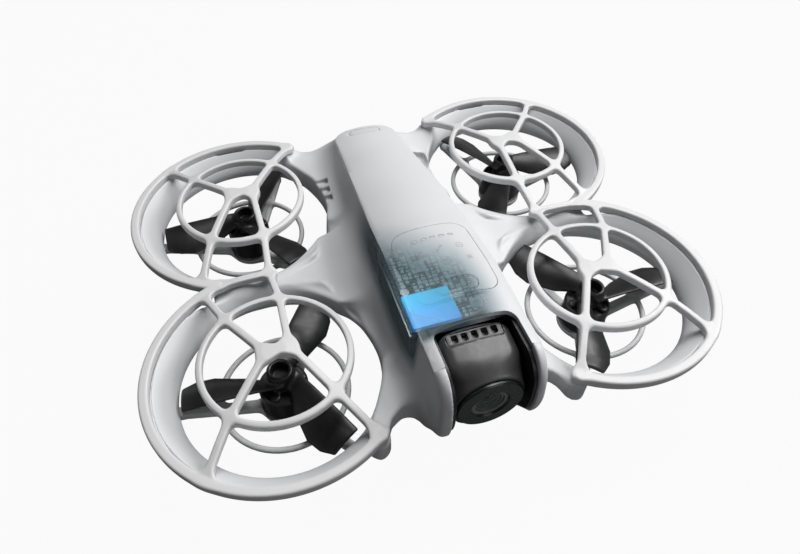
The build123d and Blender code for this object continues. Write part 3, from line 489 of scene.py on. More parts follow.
def duct_void(x0, y0):
    """Air through one duct, with no bellmouth where the fuselage passes it."""
    def distance(x, y, z):
        near = 1 - smooth_step(np.abs(y), 26, 36)
        flare = smooth_step(np.abs(x), 22 + 3 * near, 29.5 + 12 * near)
        wall = throat_radius + (flare_radius(np.minimum(z, lip_top)) - throat_radius) * flare
        return np.maximum(np.hypot(x - x0, y - y0) - wall, duct_floor - 6 - z)
    return distance


def arms(x, y, z):
    """Webs that carry the ducts: at the waist, beside the cheeks and at the tail."""
    waist = prism([(0, -15), (34, -13), (47, -4.5), (52, -3), (58, -3), (58, 3), (52, 3),
                   (47, 4.5), (34, 13), (0, 15)], duct_floor, 24.8, 0.6)
    cheek = prism([(0, -36), (0, -47.2), (15.5, -48.0), (18.6, -49.2), (21.5, -51.6),
                   (24.3, -56.0), (26.3, -57.4), (28.4, -56.2), (27, -44), (20, -36)],
                  duct_floor, 24.2, 0.6)
    tail = prism([(0, 20), (20, 20), (26, 44), (30, 58.4), (25.6, 58.2), (21.5, 56.4),
                  (18.3, 54.5), (14.9, 53.8), (0, 53.8)], duct_floor, 25.0, 0.6)
    flank = block((-20, -46.2, duct_floor), (20, 53, 21.4), 0.6)
    sides = np.minimum(cheek(x, y, z), tail(x, y, z))
    return smooth_min(smooth_min(waist(x, y, z), sides, 3.0), flank(x, y, z), 7.0)


def web_blend(x, y, z):
    """Fillet of the webs: wide at the waist, narrow where the ducts pass the flank."""
    beside = np.abs(np.abs(y) - rotor_y)
    return 4.5 + 7.5 * smooth_step(beside, 8, 28) - 3.5 * smooth_step(np.abs(y), 44, 52)


def camera_bay(grow):
    """Space that the camera sweeps, with room for its liner."""
    def distance(x, y, z):
        reach = np.hypot(y - tilt_y, z - tilt_z)
        lower = np.maximum(reach - 15.8 - grow, z - tilt_z + 3)
        bay = np.minimum(reach - 12.4 - grow, lower)
        bay = np.minimum(bay, np.maximum(y - notch_back_y - grow + 0.9, tilt_z - z))
        bay = np.minimum(bay, y - tilt_y)
        return np.maximum(bay, np.abs(x) - notch_half_width + 0.9 - grow)
    return distance


def airframe_field():
    field = Field((0, -64, -1.2), (79, 61, 48), 0.42)
    field.join(fuselage, (0, -62, 0), (34, 55, 48), 0.2)
    field.join(arms, (0, -58, duct_floor), (60, 60, 26), 12.0, web_blend)
    for y in (-rotor_y, rotor_y):
        field.join(duct(rotor_x, y), (rotor_x - 33, y - 33, duct_floor - 6),
                   (rotor_x + 33, y + 33, 27), 1.0)
    # Screw posts of the guards
    for sign in (-1, 1):
        post_x = rotor_x + corner_reach * math.cos(corner_angle)
        post_y = sign * (rotor_y - corner_reach * math.sin(corner_angle))
        field.join(disc(post_x, post_y, 19.2, 25.2, 1.6, 0.8), (post_x - 2, post_y - 2, 18),
                   (post_x + 2, post_y + 2, 25), 4.0)
    field.join(disc(waist_post_x, 0, 19.2, 24.9, 1.6, 0.8), (49, -2, 18), (53, 2, 25), 4.0)
    for y in (-rotor_y, rotor_y):
        field.cut(duct_void(rotor_x, y), (rotor_x - 33, y - 33, duct_floor - 6),
                  (rotor_x + 33, y + 33, 48), 1.0)
    field.mirror(0)
    # Electronics chamber, camera bay, battery bay and belly chamber
    field.cut(block((-10.1, -37.6, 20.8), (10.1, 41.5, 60)), (-11, -38, 20), (11, 43, 48))
    field.cut(block((-6.6, 30, 20.8), (6.6, 48.5, 60)), (-8, 29, 20), (8, 50, 48))
    field.cut(block((-11.5, -37.6, 20.8), (11.5, 8, 60)), (-13, -38, 20), (13, 9, 48))
    field.cut(block((-12.5, -37.6, 20.8), (12.5, -9.8, 60)), (-13, -38, 20), (13, -9, 48))
    field.cut(camera_bay(0.95), (-11, -64, 5), (11, -33, 48), 0.3)
    field.cut(block((-15, -14.2, -5), (15, 70, 19.1)), (-16, -15, -2), (16, 61, 20))
    field.cut(block((-30, 42.2, -5), (30, 70, 16.5)), (-31, 41, -2), (31, 61, 18))
    field.cut(block((-11.5, -34, -5), (11.5, -15.4, 16)), (-12, -35, -2), (12, -15, 17))
    # USB socket in the left flank, cooling slots in the right flank
    field.cut(block((8, 33.4, 23.2), (19.5, 42.6, 26.8), 1.6), (8, 33, 23), (20, 43, 27))
    for n in (-1, 0, 1):
        y = 33 + 4.2 * n
        field.cut(block((-30, y - 1.4, 24.2), (-8, y + 1.4, 25.8), 0.6),
                  (-20, y - 2, 24), (-8, y + 2, 26))
    for side in (-1, 1):
        field.join(block((side * 14.7 - 0.8, -13, 9.2), (side * 14.7 + 0.8, 37, 10.8)),
                   (side * 14.7 - 1, -14, 9), (side * 14.7 + 1, 38, 11))
    return field


# ---------------------------------------------------------------- guards
hub_outer, hub_inner = (2.0, 0.0), (-3.8, 0.5)
guard_ring_radius, guard_ring_z, guard_hub_z = 18.5, 30.9, 33.3
rod_width, rod_height = 1.9, 2.3
spokes = [      # hub junction, crossing of the inner ring, foot
    (hub_outer, (13.2, -13.6), (20.8, -25.2)),
    (hub_inner, (-12.0, -14.2), (-19.3, -26.4)),
    (hub_outer, (10.6, 15.2), (16.0, 29.6)),
    (hub_inner, (-4.2, 18.1), (-3.2, 29.8)),
]


def stroke_distance(points, width):
    """Plan distance to a line through points, as wide as width."""
    def distance(x, y):
        nearest = np.inf
        for (ax, ay), (bx, by) in zip(points, points[1:]):
            ex, ey = bx - ax, by - ay
            t = np.clip(((x - ax) * ex + (y - ay) * ey) / (ex * ex + ey * ey), 0, 1)
            nearest = np.minimum(nearest, np.hypot(x - ax - ex * t, y - ay - ey * t))
        return nearest - width / 2
    return distance


def guard_middle(x, y):
    """Height of the middle of the guard's rods: a low dome over the rotor."""
    radius = np.hypot(x - rotor_x, y - rotor_y)
    return np.interp(radius, (3, 10, guard_ring_radius, 25, rim_radius - 2),
                     (guard_hub_z, 32.4, guard_ring_z, 29.3, rim_top - 1.25))


def guard_plan(x, y):
    """Plan distances to the rim and to the rods of a left guard, over its rear half."""
    around = [(rotor_x + dx, rotor_y - dy) for dx, dy in (hub_outer, hub_inner)]
    rods = stroke_distance(around, 3.4)(x, y)
    for points in spokes:
        line = [(rotor_x + dx, rotor_y - dy) for dx, dy in points]
        rods = smooth_min(rods, stroke_distance(line, rod_width)(x, y), 2.8)
    radius = np.hypot(x - rotor_x, y - rotor_y)
    rods = smooth_min(rods, np.abs(radius - guard_ring_radius) - 0.85, 2.2)
    waist = stroke_distance([(rotor_x + 16, 0), (rotor_x - 4.2, 0)], 2.1)
    rods = smooth_min(rods, waist(x, y), 2.4)
    middle, half = math.radians(28.4), math.radians(98)
    along = (x - rotor_x) * math.cos(middle) + (y - rotor_y) * math.sin(middle)
    aside = np.abs((y - rotor_y) * math.cos(middle) - (x - rotor_x) * math.sin(middle))
    reach = rim_radius - 1.23
    ends = np.hypot(along - reach * math.cos(half), aside - reach * math.sin(half))
    rim = np.where(np.abs(np.arctan2(aside, along)) <= half, np.abs(radius - reach), ends) - 1.15
    post_x = rotor_x + corner_reach * math.cos(corner_angle)
    post_y = rotor_y - corner_reach * math.sin(corner_angle)
    corner = np.hypot(x - post_x, y - post_y) - 1.7
    rods = smooth_min(rods, smooth_min(rim, corner, 1.0), 3.4)
    bound = np.minimum(radius - rim_radius - 0.15, corner)
    return smooth_min(rim, corner, 1.0), smooth_max(rods, bound, 0.6)


def guard_field():
    """Left guard: its rear half, then mirrored."""
    field = Field((8, 0, 24.3), (80, 66, 35.5), 0.28)
    part, (x, y, z) = field.block((8, 0, 24), (80, 66, 36), 0)
    rim, rods = guard_plan(x, y)
    rise = (np.abs(z - guard_middle(x, y)) - rod_height / 2) * 0.98
    web = corner_distance(rods + 0.5, rise + 0.5) - 0.5
    band = corner_distance(rim + 0.55, slab(z, rim_top - 3.0, rim_top) + 0.55) - 0.55
    field.values[part] = smooth_min(web, band, 0.4)
    field.mirror(1)
    return field


# ---------------------------------------------------------------- motor cages
def cage_field():
    """Motor cup, three arms and the lower ring of a left rotor, about its own axis."""
    field = Field((-29, -29, 7.8), (29, 29, 20), 0.32)
    low, high = (-28, -28, 8.5), (28, 28, 19)
    field.join(disc(0, 0, 8.6, 10.9, 7.2, 0.9), low, high, 0.3)
    for n in range(3):
        angle = math.radians(120 * n)
        c, s = math.cos(angle), math.sin(angle)
        arm = bar((5.0 * c, 5.0 * s, 9.9), (26.2 * c, 26.2 * s, 17.2), 3.8, 2.2, 1.0, 0.78)
        foot = bar((26.2 * c, 26.2 * s, 17.2), (26.9 * c, 26.9 * s, 18.4), 2.9, 1.8, 0.8)
        field.join(arm, low, high, 1.8)
        field.join(foot, low, high, 0.8)
    field.join(ring(0, 0, 16.8, 1.6, 14.0, 15.6, 0.75), low, high, 1.6)
    field.cut(disc(0, 0, 9.7, 40, 6.8, 0.3), (-8, -8, 9), (8, 8, 20), 0.3)
    field.cut(lambda x, y, z: duct_floor - z + 0 * x + 0 * y, (-29, -29, 17), (29, 29, 20), 0.2)
    return field


# ---------------------------------------------------------------- propellers
blade_stations = [      # radius, chord, pitch in degrees
    (2.6, 4.4, 32), (9.0, 8.4, 29), (17.0, 10.8, 23), (21.5, 10.2, 19), (25.2, 8.2, 16)]
leading_edge, blade_z, tip_radius = 3.6, 21.6, 25.2
hub_radius, hub_low, hub_top = 3.4, 18.8, 25.4


def blade(angle):
    radii, chords, pitches = (np.array(v, float) for v in zip(*blade_stations))

    def distance(x, y, z):
        along = x * math.cos(angle) + y * math.sin(angle)
        ahead = y * math.cos(angle) - x * math.sin(angle)
        chord = np.interp(along, radii, chords)
        lean = np.radians(np.interp(along, radii, pitches))
        middle = leading_edge - chord / 2 * np.cos(lean)
        rise = (leading_edge - chord / 2) * np.sin(lean) * 0.6
        forward, above = ahead - middle, z - blade_z - rise
        across = forward * np.cos(lean) + above * np.sin(lean)
        share = np.clip(across / (chord / 2), -1, 1)
        camber = 0.075 * chord * (1 - share ** 2)
        off = above * np.cos(lean) - forward * np.sin(lean) - camber + 0.4
        thick = 0.2 + 0.28 * np.sqrt(np.maximum(1 - share ** 2, 0)) * (1.25 - share * 0.3)
        edge = np.abs(across) - chord / 2
        plan = corner_distance(edge + 0.4, along - tip_radius + 0.45) - 0.4
        return np.maximum(smooth_max(np.abs(off) - thick, plan, 0.35), -along)
    return distance


def propeller_field():
    """Three-bladed propeller that turns anticlockwise, first blade along +X."""
    field = Field((-26.2, -26.2, 17.6), (26.2, 26.2, 27), 0.24)
    low, high = (-26, -26, 18), (26, 26, 26.5)
    for n in range(3):
        field.join(blade(math.radians(120 * n)), low, high, 0.4)
    field.join(disc(0, 0, hub_low, hub_top, hub_radius, 0.5), low, high, 1.5)
    field.cut(disc(0, 0, hub_top - 3.0, 40, 2.3, 0.3), (-3, -3, 22), (3, 3, 27), 0.35)
    # Drop of the hub round the motor's shaft
    field.cut(disc(0, 0, 10, hub_top - 4.2, 0.95, 0.1), (-1, -1, 18), (1, 1, 22), 0.2)
    for n in range(3):
        angle = math.radians(120 * n + 60)
        x, y = 4.9 * math.cos(angle), 4.9 * math.sin(angle)
        field.join(disc(x, y, hub_low, 19.9, 1.3, 0.4), (x - 1.4, y - 1.4, 18),
                   (x + 1.4, y + 1.4, 20), 1.2)
    return field


# ---------------------------------------------------------------- camera
vent_slot_pitch, vent_slot_size = 2.45, (1.5, 1.9)
vent_panel_size, vent_panel_y = (13.6, 3.1), -46.9


def housing_top(x, y):
    """Height of the camera's top, which falls towards the lens."""
    return 43.5 + 0.205 * (y - camera_back_y)


def camera_field():
    """Left half of the camera's housing, then mirrored."""
    field = Field((0, -60.5, 21), (10, -43.5, 45), 0.2)
    low, high = (0, -60, 21.5), (9.8, -44, 44.5)
    front, back = camera_front_y, camera_back_y

    def along_y(radius, start, end, corner):
        drum = disc(0, lens_z, start, end, radius, corner)
        return lambda x, y, z: drum(x, z, y)

    def body(x, y, z):
        flat = block((-8.5, back - 9.5, 25.5), (8.5, back, 60), 2.6)(x, y, z)
        return smooth_max(flat, (z - housing_top(x, y)) * 0.98, 3.0)

    field.join(along_y(camera_half_width, front, back - 1, 0.35), low, high, 0.1)
    field.join(body, low, high, 7.0)
    field.cut(lambda x, y, z: y - front + 0 * x + 0 * z, low, high, 0.3)
    chin = along_y(9.55, front + 0.15, front + 3.4, 0.3)
    field.join(lambda x, y, z: smooth_max(chin(x, y, z), z - lens_z + 5.4 + 0 * y, 0.6),
               low, high, 0.5)
    # Seat of the lens plate, room for the lens, and the pocket behind the vents
    field.cut(along_y(8.5, -70, front + 0.1, 0.05), low, high, 0.1)
    field.cut(along_y(5.0, -70, back - 4, 0.2), low, high, 0.1)
    vent_x, vent_y = vent_panel_size[0] / 2 + 0.12, vent_panel_size[1] / 2 + 0.12
    pocket = prism(rounded_rectangle(0, vent_panel_y, 2 * vent_x, 2 * vent_y, 0.8),
                   -1.7, 5, 0.05)
    field.cut(lambda x, y, z: pocket(x, y, z - housing_top(x, y)), low, high, 0.1)
    field.mirror(0)
    return field


def lathe(name, profile, body, replaced, material, count=72):
    """Piece turned about the lens axis from (radius, y) points."""
    points, faces = [], []
    for radius, y in profile:
        for n in range(count):
            t = 2 * math.pi * n / count
            points.append((radius * math.cos(t), y, lens_z + radius * math.sin(t)))
    for row in range(len(profile) - 1):
        for n in range(count):
            here, there = row * count, (row + 1) * count
            after = (n + 1) % count
            faces.append((here + n, here + after, there + after, there + n))
    mesh = make_mesh(name, np.array(points), np.array(faces))
    mesh.set_sharp_from_angle(angle=math.radians(35))
    return new_piece(name, mesh, body, replaced, material)


def vent_plate():
    """Outlines of the vent panel: its edge and five slots."""
    slots = [rounded_rectangle(vent_slot_pitch * (n - 2), vent_panel_y + 0.2,
                               *vent_slot_size, 0.35, 3) for n in range(5)]
    return [rounded_rectangle(0, vent_panel_y, *vent_panel_size, 0.7)] + slots


# ---------------------------------------------------------------- circuit board
board_top, chip_keep_out = 35.6, ((-11.6, 1.9), (-37.2, -26.0))


def component_boxes():
    """Places and sizes of the small parts on the board, on a jittered grid."""
    chance = np.random.default_rng(7)
    boxes = []
    for x in np.arange(-10.9, 10.9, 1.55):
        for y in np.arange(-36.2, 4.0, 1.25):
            if chance.random() < 0.14:
                continue
            wide, long = chance.uniform(0.6, 1.42), chance.uniform(0.45, 1.1)
            height = chance.choice((0.25, 0.4, 0.6))
            at_x, at_y = x + chance.uniform(-0.1, 0.1), y + chance.uniform(-0.08, 0.08)
            (x_low, x_high), (y_low, y_high) = chip_keep_out
            on_chip = x_low < at_x < x_high and y_low < at_y < y_high
            screws = min(math.hypot(abs(at_x) - 9.6, at_y - sy) for sy in (-24.6, 2.6))
            edge = 10.9 if at_y < -11.5 else 9.7
            if not on_chip and screws > 2.0 and abs(at_x) + wide / 2 < edge:
                boxes.append((at_x, at_y, wide, long, height))
    boxes += [(6.9, -33.0, 3.0, 2.6, 0.7), (-3.4, -17.0, 4.0, 3.4, 0.8),
              (3.8, -19.0, 3.0, 3.0, 0.8), (0.0, -2.0, 6.0, 4.6, 0.9)]
    return boxes


def chip_pads():
    """Solder pads in a row along the front edge of the memory chip."""
    return [(-10.6 + 0.8 * n, -37.0, 0.36, 0.3, 0.3) for n in range(16)]


def make_boxes(name, boxes, floor):
    """One mesh of small boxes with chamfered tops."""
    grid = bmesh.new()
    for x, y, wide, long, height in boxes:
        rings = []
        for inset, z in ((0, 0), (0, height - 0.08), (0.08, height)):
            half_x, half_y = wide / 2 - inset, long / 2 - inset
            rings.append([grid.verts.new(((x + sx * half_x) * MM, (y + sy * half_y) * MM,
                                          (floor + z) * MM))
                          for sx, sy in ((-1, -1), (1, -1), (1, 1), (-1, 1))])
        grid.faces.new(rings[0][::-1])
        grid.faces.new(rings[2])
        for low, high in zip(rings, rings[1:]):
            for n in range(4):
                after = (n + 1) % 4
                grid.faces.new((low[n], low[after], high[after], high[n]))
    mesh = bpy.data.meshes.new(name)
    grid.to_mesh(mesh)
    grid.free()
    return mesh


# ---------------------------------------------------------------- plates on the spine
def spine_plate(name, loops, thickness, bevel=0.1, sink=0.0, mitred=False, pitch=1.6,
                surface=crown_z):
    """Mesh of a plate cut to closed outlines, the first one outside, laid on a surface."""
    curve = bpy.data.curves.new(name, "CURVE")
    curve.dimensions, curve.fill_mode = "2D", "BOTH"
    curve.extrude, curve.bevel_depth = thickness / 2 - bevel, bevel
    curve.bevel_resolution, curve.offset = 1, -bevel
    for loop in loops:
        spline = curve.splines.new("POLY")
        spline.points.add(len(loop) - 1)
        for point, (x, y) in zip(spline.points, loop):
            point.co = (x, y, 0, 1)
        spline.use_cyclic_u = True
    holder = bpy.data.objects.new(name, curve)
    bpy.context.scene.collection.objects.link(holder)
    graph = bpy.context.evaluated_depsgraph_get()
    mesh = bpy.data.meshes.new_from_object(holder.evaluated_get(graph))
    bpy.data.objects.remove(holder)
    grid = bmesh.new()
    grid.from_mesh(mesh)
    bmesh.ops.remove_doubles(grid, verts=grid.verts, dist=0.002)
    for axis in (0, 1):
        places = [v.co[axis] for v in grid.verts]
        count = int((max(places) - min(places)) / pitch) + 1
        for n in range(1, count):
            point, normal = Vector((0, 0, 0)), Vector((0, 0, 0))
            point[axis] = min(places) + n * (max(places) - min(places)) / count
            normal[axis] = 1
            everything = grid.verts[:] + grid.edges[:] + grid.faces[:]
            bmesh.ops.bisect_plane(grid, geom=everything, plane_co=point, plane_no=normal)
    for v in grid.verts:
        x, y, z = v.co
        below = thickness / 2 - z
        if mitred and abs(x) > crease_x(y) - 0.6:
            x -= math.copysign(min(below, 1.3), x)
        v.co = Vector((x, y, surface(x, y) - below - sink)) * MM
    bmesh.ops.recalc_face_normals(grid, faces=grid.faces)
    grid.to_mesh(mesh)
    grid.free()
    mesh.shade_smooth()
    mesh.set_sharp_from_angle(angle=math.radians(38))
    return mesh


def cover_outline():
    """Spine outline: creases on both sides, the camera notch in front, a rounded tail."""
    right = [(notch_half_width, cover_front_y)]
    right += [(crease_x(y), y) for y in np.linspace(cover_front_y, 46.4, 26)]
    right += arc((float(crease_x(46.4)), 46.4), (9.05, 50.2), (5.0, cover_back_y), 8)[1:]
    right = [(float(x), float(y)) for x, y in right]
    left = [(-x, y) for x, y in reversed(right)]
    notch = arc((-notch_half_width, notch_back_y - 2.4), (-notch_half_width + 0.75, -45.7),
                (-notch_half_width + 2.4, notch_back_y), 5)
    back = [(-x, y) for x, y in reversed(notch)]
    return right + left + notch + back


def stroke(points, width):
    """Outline of a straight stroke between two points."""
    (ax, ay), (bx, by) = points
    long = math.hypot(bx - ax, by - ay)
    ox, oy = (ay - by) / long * width / 2, (bx - ax) / long * width / 2
    return [(ax + ox, ay + oy), (ax - ox, ay - oy), (bx - ox, by - oy), (bx + ox, by + oy)]


def icon_outlines():
    """Generic signs for the five touch modes: ring, eye, diagonal arrow, loop and bars."""
    def circle(x, y, radius):
        return [(x + radius * math.cos(math.pi * n / 12), y + radius * math.sin(math.pi * n / 12))
                for n in range(24)]

    (ax, ay), (bx, by), (cx, cy), (dx, dy), (ex, ey) = icon_places
    signs = [[circle(ax, ay, 0.85), circle(ax, ay, 0.68)], [circle(ax, ay, 0.28)],
             [stroke(((bx - 0.8, by - 0.8), (bx + 0.8, by + 0.8)), 0.16)],
             [circle(cx, cy, 0.95), circle(cx, cy, 0.80)],
             [stroke(((cx - 0.4, cy), (cx + 0.4, cy)), 0.16)],
             [circle(dx, dy, 0.95), circle(dx, dy, 0.80)],
             [stroke(((dx, dy - 0.4), (dx, dy + 0.4)), 0.16)]]
    for side in (-1, 1):
        tip = (bx + side * 0.85, by + side * 0.85)
        signs.append([stroke((tip, (tip[0] - side * 0.6, tip[1])), 0.16)])
        signs.append([stroke((tip, (tip[0], tip[1] - side * 0.6)), 0.16)])
    for n in range(3):
        signs.append([stroke(((ex - 0.7, ey - 0.5 + 0.5 * n), (ex + 0.7, ey - 0.5 + 0.5 * n)),
                             0.18)])
    return signs


def outlines():
    """Every plate on the spine: name to its outlines."""
    gap = 2 * seam
    panel_y, panel_length = (panel_front_y + panel_back_y) / 2, panel_back_y - panel_front_y
    lights = [rounded_rectangle(light_pitch * (n - 2), lights_y, 1.44, 0.6, 0.29, 3)
              for n in range(5)]
    light_holes = [rounded_rectangle(light_pitch * (n - 2), lights_y, 1.6, 0.76, 0.37, 3)
                   for n in range(5)]
    wide, long = mode_size
    hole = rounded_rectangle(0, mode_y, wide + gap, long + gap, (long + gap) / 2 - 0.01)
    plates = {
        "cover": [
            cover_outline(),
            rounded_rectangle(0, panel_y, 2 * panel_half_width + gap, panel_length + gap, 3.7),
            rounded_rectangle(0, power_y, power_size[0] + gap, power_size[1] + gap, 1.1),
        ],
        "panel": [
            rounded_rectangle(0, panel_y, 2 * panel_half_width, panel_length, 3.6),
            hole,
        ] + light_holes,
        "mode_button": [rounded_rectangle(0, mode_y, wide, long, long / 2 - 0.01)],
        "power_button": [rounded_rectangle(0, power_y, *power_size, 1.0)],
    }
    return plates, lights


# ---------------------------------------------------------------- materials
class Paint:
    """A Principled material whose colour, roughness and bump vary over the object."""

    def __init__(self, name, colour, roughness, **fixed):
        self.material = bpy.data.materials.new(name)
        self.material.use_nodes = True
        self.tree = self.material.node_tree
        self.shader = self.tree.nodes["Principled BSDF"]
        self.colour = colour
        self.shader.inputs["Base Color"].default_value = (*colour, 1)
        self.shader.inputs["Roughness"].default_value = roughness
        for label, value in fixed.items():
            self.shader.inputs[label.replace("_", " ")].default_value = value
        self.place = self.add("ShaderNodeTexCoord").outputs["Object"]

    def add(self, kind, **settings):
        node = self.tree.nodes.new(kind)
        for label, value in settings.items():
            setattr(node, label, value)
        return node

    def link(self, source, target):
        self.tree.links.new(source, target)

    def noise(self, size, detail=2.0, stretch=None):
        """Noise with features of a size in millimetres; stretch scales it along X, Y, Z."""
        node = self.add("ShaderNodeTexNoise")
        node.inputs["Scale"].default_value = 1 / (size * MM)
        node.inputs["Detail"].default_value = detail
        place = self.place
        if stretch:
            scaled = self.add("ShaderNodeVectorMath", operation="MULTIPLY")
            scaled.inputs[1].default_value = stretch
            self.link(place, scaled.inputs[0])
            place = scaled.outputs[0]
        self.link(place, node.inputs["Vector"])
        return node.outputs["Fac"]

    def ramp(self, value, low, high, out_low, out_high, smooth=False):
        node = self.add("ShaderNodeMapRange")
        if smooth:
            node.interpolation_type = "SMOOTHSTEP"
        settings = (("From Min", low), ("From Max", high), ("To Min", out_low),
                    ("To Max", out_high))
        for label, number in settings:
            node.inputs[label].default_value = number
        self.link(value, node.inputs["Value"])
        return node.outputs["Result"]

    def along(self, direction, start, end, out_low=0.0, out_high=1.0):
        """Smooth ramp over the object along a direction, between distances in millimetres."""
        node = self.add("ShaderNodeVectorMath", operation="DOT_PRODUCT")
        node.inputs[1].default_value = direction
        self.link(self.place, node.inputs[0])
        return self.ramp(node.outputs["Value"], start * MM, end * MM, out_low, out_high, True)

    def product(self, *values):
        result = values[0]
        for value in values[1:]:
            node = self.add("ShaderNodeMath", operation="MULTIPLY")
            self.link(result, node.inputs[0])
            self.link(value, node.inputs[1])
            result = node.outputs[0]
        return result

    def mixed(self, factor, first, second):
        """Colour between two colours, each a tuple or a socket."""
        node = self.add("ShaderNodeMix", data_type="RGBA")
        self.link(factor, node.inputs["Factor"])
        for socket, colour in ((node.inputs[6], first), (node.inputs[7], second)):
            if isinstance(colour, tuple):
                socket.default_value = (*colour, 1)
            else:
                self.link(colour, socket)
        return node.outputs[2]

    def either(self, first, second):
        node = self.add("ShaderNodeMath", operation="MAXIMUM")
        self.link(first, node.inputs[0])
        self.link(second, node.inputs[1])
        return node.outputs[0]

    def inside(self, low, high, soft):
        """1 inside a box in millimetres, falling to 0 over a soft width at its faces."""
        faces = []
        for axis in range(3):
            up = [0, 0, 0]
            up[axis] = 1
            down = [-v for v in up]
            faces.append(self.along(up, low[axis] - soft / 2, low[axis] + soft / 2))
            faces.append(self.along(down, -high[axis] - soft / 2, -high[axis] + soft / 2))
        return self.product(*faces)

    def paint(self, colour):
        self.link(colour, self.shader.inputs["Base Color"])

    def bump(self, height, depth, strength=1.0):
        node = self.add("ShaderNodeBump")
        node.inputs["Strength"].default_value = strength
        node.inputs["Distance"].default_value = depth * MM
        self.link(height, node.inputs["Height"])
        self.link(node.outputs["Normal"], self.shader.inputs["Normal"])


def scaled(colour, factor):
    return tuple(min(1, c * factor) for c in colour)


def moulded(name, colour, roughness=0.5, grain=0.16, depth=0.006, cloud=18, vary=0.03,
            **fixed):
    """Moulded plastic: fine spark texture, faint clouding and uneven gloss."""
    paint = Paint(name, colour, roughness, **fixed)
    clouds = paint.noise(cloud, 3.0)
    paint.paint(paint.mixed(paint.ramp(clouds, 0.3, 0.7, 0, 1),
                            scaled(colour, 1 - vary), scaled(colour, 1 + vary)))
    speckle = paint.noise(grain, 1.0)
    gloss = paint.ramp(paint.noise(grain * 6, 2.0), 0.3, 0.7, roughness - 0.04, roughness + 0.05)
    paint.link(gloss, paint.shader.inputs["Roughness"])
    paint.bump(speckle, depth)
    return paint


def metal(name, colour, roughness, brush=(1, 1, 1)):
    """Bare metal with fine brushing along the axis that brush stretches."""
    paint = Paint(name, colour, roughness, Metallic=1.0)
    lines = paint.noise(0.12, 2.0, brush)
    paint.paint(paint.mixed(paint.noise(3.0), scaled(colour, 0.9), scaled(colour, 1.08)))
    paint.link(paint.ramp(lines, 0.3, 0.7, roughness - 0.06, roughness + 0.08),
               paint.shader.inputs["Roughness"])
    paint.bump(lines, 0.004)
    return paint


shell_grey = (0.60, 0.605, 0.615)
guard_grey = (0.62, 0.62, 0.625)
window_blue = (0.34, 0.48, 0.54)
window_haze = (0.52, 0.65, 0.70)


def windowed(paint, opening, tint, most_open):
    """Lets the inside show through where opening is 1, with a cool tint."""
    base = paint.shader.inputs["Base Color"].links[0].from_socket
    paint.paint(paint.mixed(opening, base, tint))
    paint.link(paint.ramp(opening, 0, 1, 1, 1 - most_open), paint.shader.inputs["Alpha"])
    return paint


def shell_material():
    """Light grey shell with painted shade, a dark blue-grey, inside the chamber; it turns
    translucent beside and before the board.
    """
    paint = moulded("shell", shell_grey, 0.47)
    # The inside of the chamber is painted dark blue-grey: painted shade in the hollow.
    chamber = paint.either(paint.inside((-12.55, -37.9, 20.6), (12.55, -9.6, 60), 0.1),
                           paint.inside((-10.2, -10, 20.6), (10.2, 44, 60), 0.1))
    base = paint.shader.inputs["Base Color"].links[0].from_socket
    paint.paint(paint.mixed(chamber, base, (0.15, 0.21, 0.24)))
    flank = paint.product(
        paint.along((0, 0, 1), 29.0, 37.0), paint.along((-1, 0, 0), 9.0, 10.5),
        paint.along((0, -1, 0), -14, 12), paint.along((0, 1, 0), -46.5, -43.5))
    bridge = paint.product(
        paint.inside((-12.6, -47.5, 34.0), (12.6, -37.0, 60), 1.0),
        paint.along((-1, 0, 0), -4.5, -0.5))
    opening = paint.either(paint.ramp(flank, 0, 1, 0, 0.85), bridge)
    return windowed(paint, opening, window_blue, 0.90).material


def over_board(paint):
    """Where the plates over the main board are clear: most at the front right."""
    return paint.product(paint.along((-0.9, -1, 0), 12, 34), paint.along((-1, 0, 0), -10.5, -2),
                         paint.along((0, 1, 0), -48.0, -45.5))


def cover_material():
    """Same plastic as the shell, smoked and clear over the front of the main board."""
    paint = moulded("cover", shell_grey, 0.43)
    return windowed(paint, over_board(paint), window_haze, 0.92).material


def liner_material():
    paint = moulded("liner", (0.012, 0.012, 0.013), 0.4, depth=0.004)
    opening = paint.product(paint.along((0, 0, 1), 37, 39), paint.along((0, 1, 0), -49, -46),
                            paint.along((-1, 0, 0), -6, 2))
    return windowed(paint, opening, (0.05, 0.09, 0.11), 0.85).material


def chip_material():
    """Blue memory package, paler towards the back as a painted sheen, and with a painted glow of
    its own colour.
    """
    # Emission Strength gives the chip a painted glow: it sends out light though it is no lamp.
    paint = Paint("chip", (0.05, 0.36, 0.85), 0.28, Emission_Strength=0.55)
    fade = paint.along((0.15, 1, 0), -37, -26)
    sheen = paint.mixed(fade, (0.0, 0.27, 0.72), (0.03, 0.53, 0.86))
    speck = paint.noise(0.3, 1.0)
    colour = paint.mixed(paint.ramp(speck, 0.4, 0.6, 0, 0.06), sheen, (0.25, 0.6, 0.95))
    paint.paint(colour)
    paint.link(colour, paint.shader.inputs["Emission Color"])
    paint.bump(speck, 0.003)
    return paint.material


def silicone_material():
    """Clear rubber domes of the buttons' switches."""
    paint = Paint("silicone", (0.45, 0.60, 0.68), 0.35, Alpha=0.22)
    paint.bump(paint.noise(0.6), 0.002)
    return paint.material


def board_material():
    """Dark green-blue circuit board with fine copper tracks under the solder mask."""
    paint = Paint("board", (0.03, 0.10, 0.12), 0.35)
    bricks = paint.add("ShaderNodeTexBrick")
    bricks.inputs["Scale"].default_value = 260
    bricks.inputs["Mortar Size"].default_value = 0.06
    paint.link(paint.place, bricks.inputs["Vector"])
    tracks = paint.ramp(bricks.outputs["Fac"], 0, 1, 0, 1)
    paint.paint(paint.mixed(tracks, (0.016, 0.055, 0.068), (0.09, 0.19, 0.20)))
    paint.bump(tracks, 0.02)
    return paint.material


def carbon_black(name, roughness=0.36):
    """Glass-filled black nylon of the propellers."""
    paint = moulded(name, (0.012, 0.012, 0.0125), roughness, grain=0.2, depth=0.004, vary=0.2)
    paint.shader.inputs["Specular IOR Level"].default_value = 0.42
    return paint.material


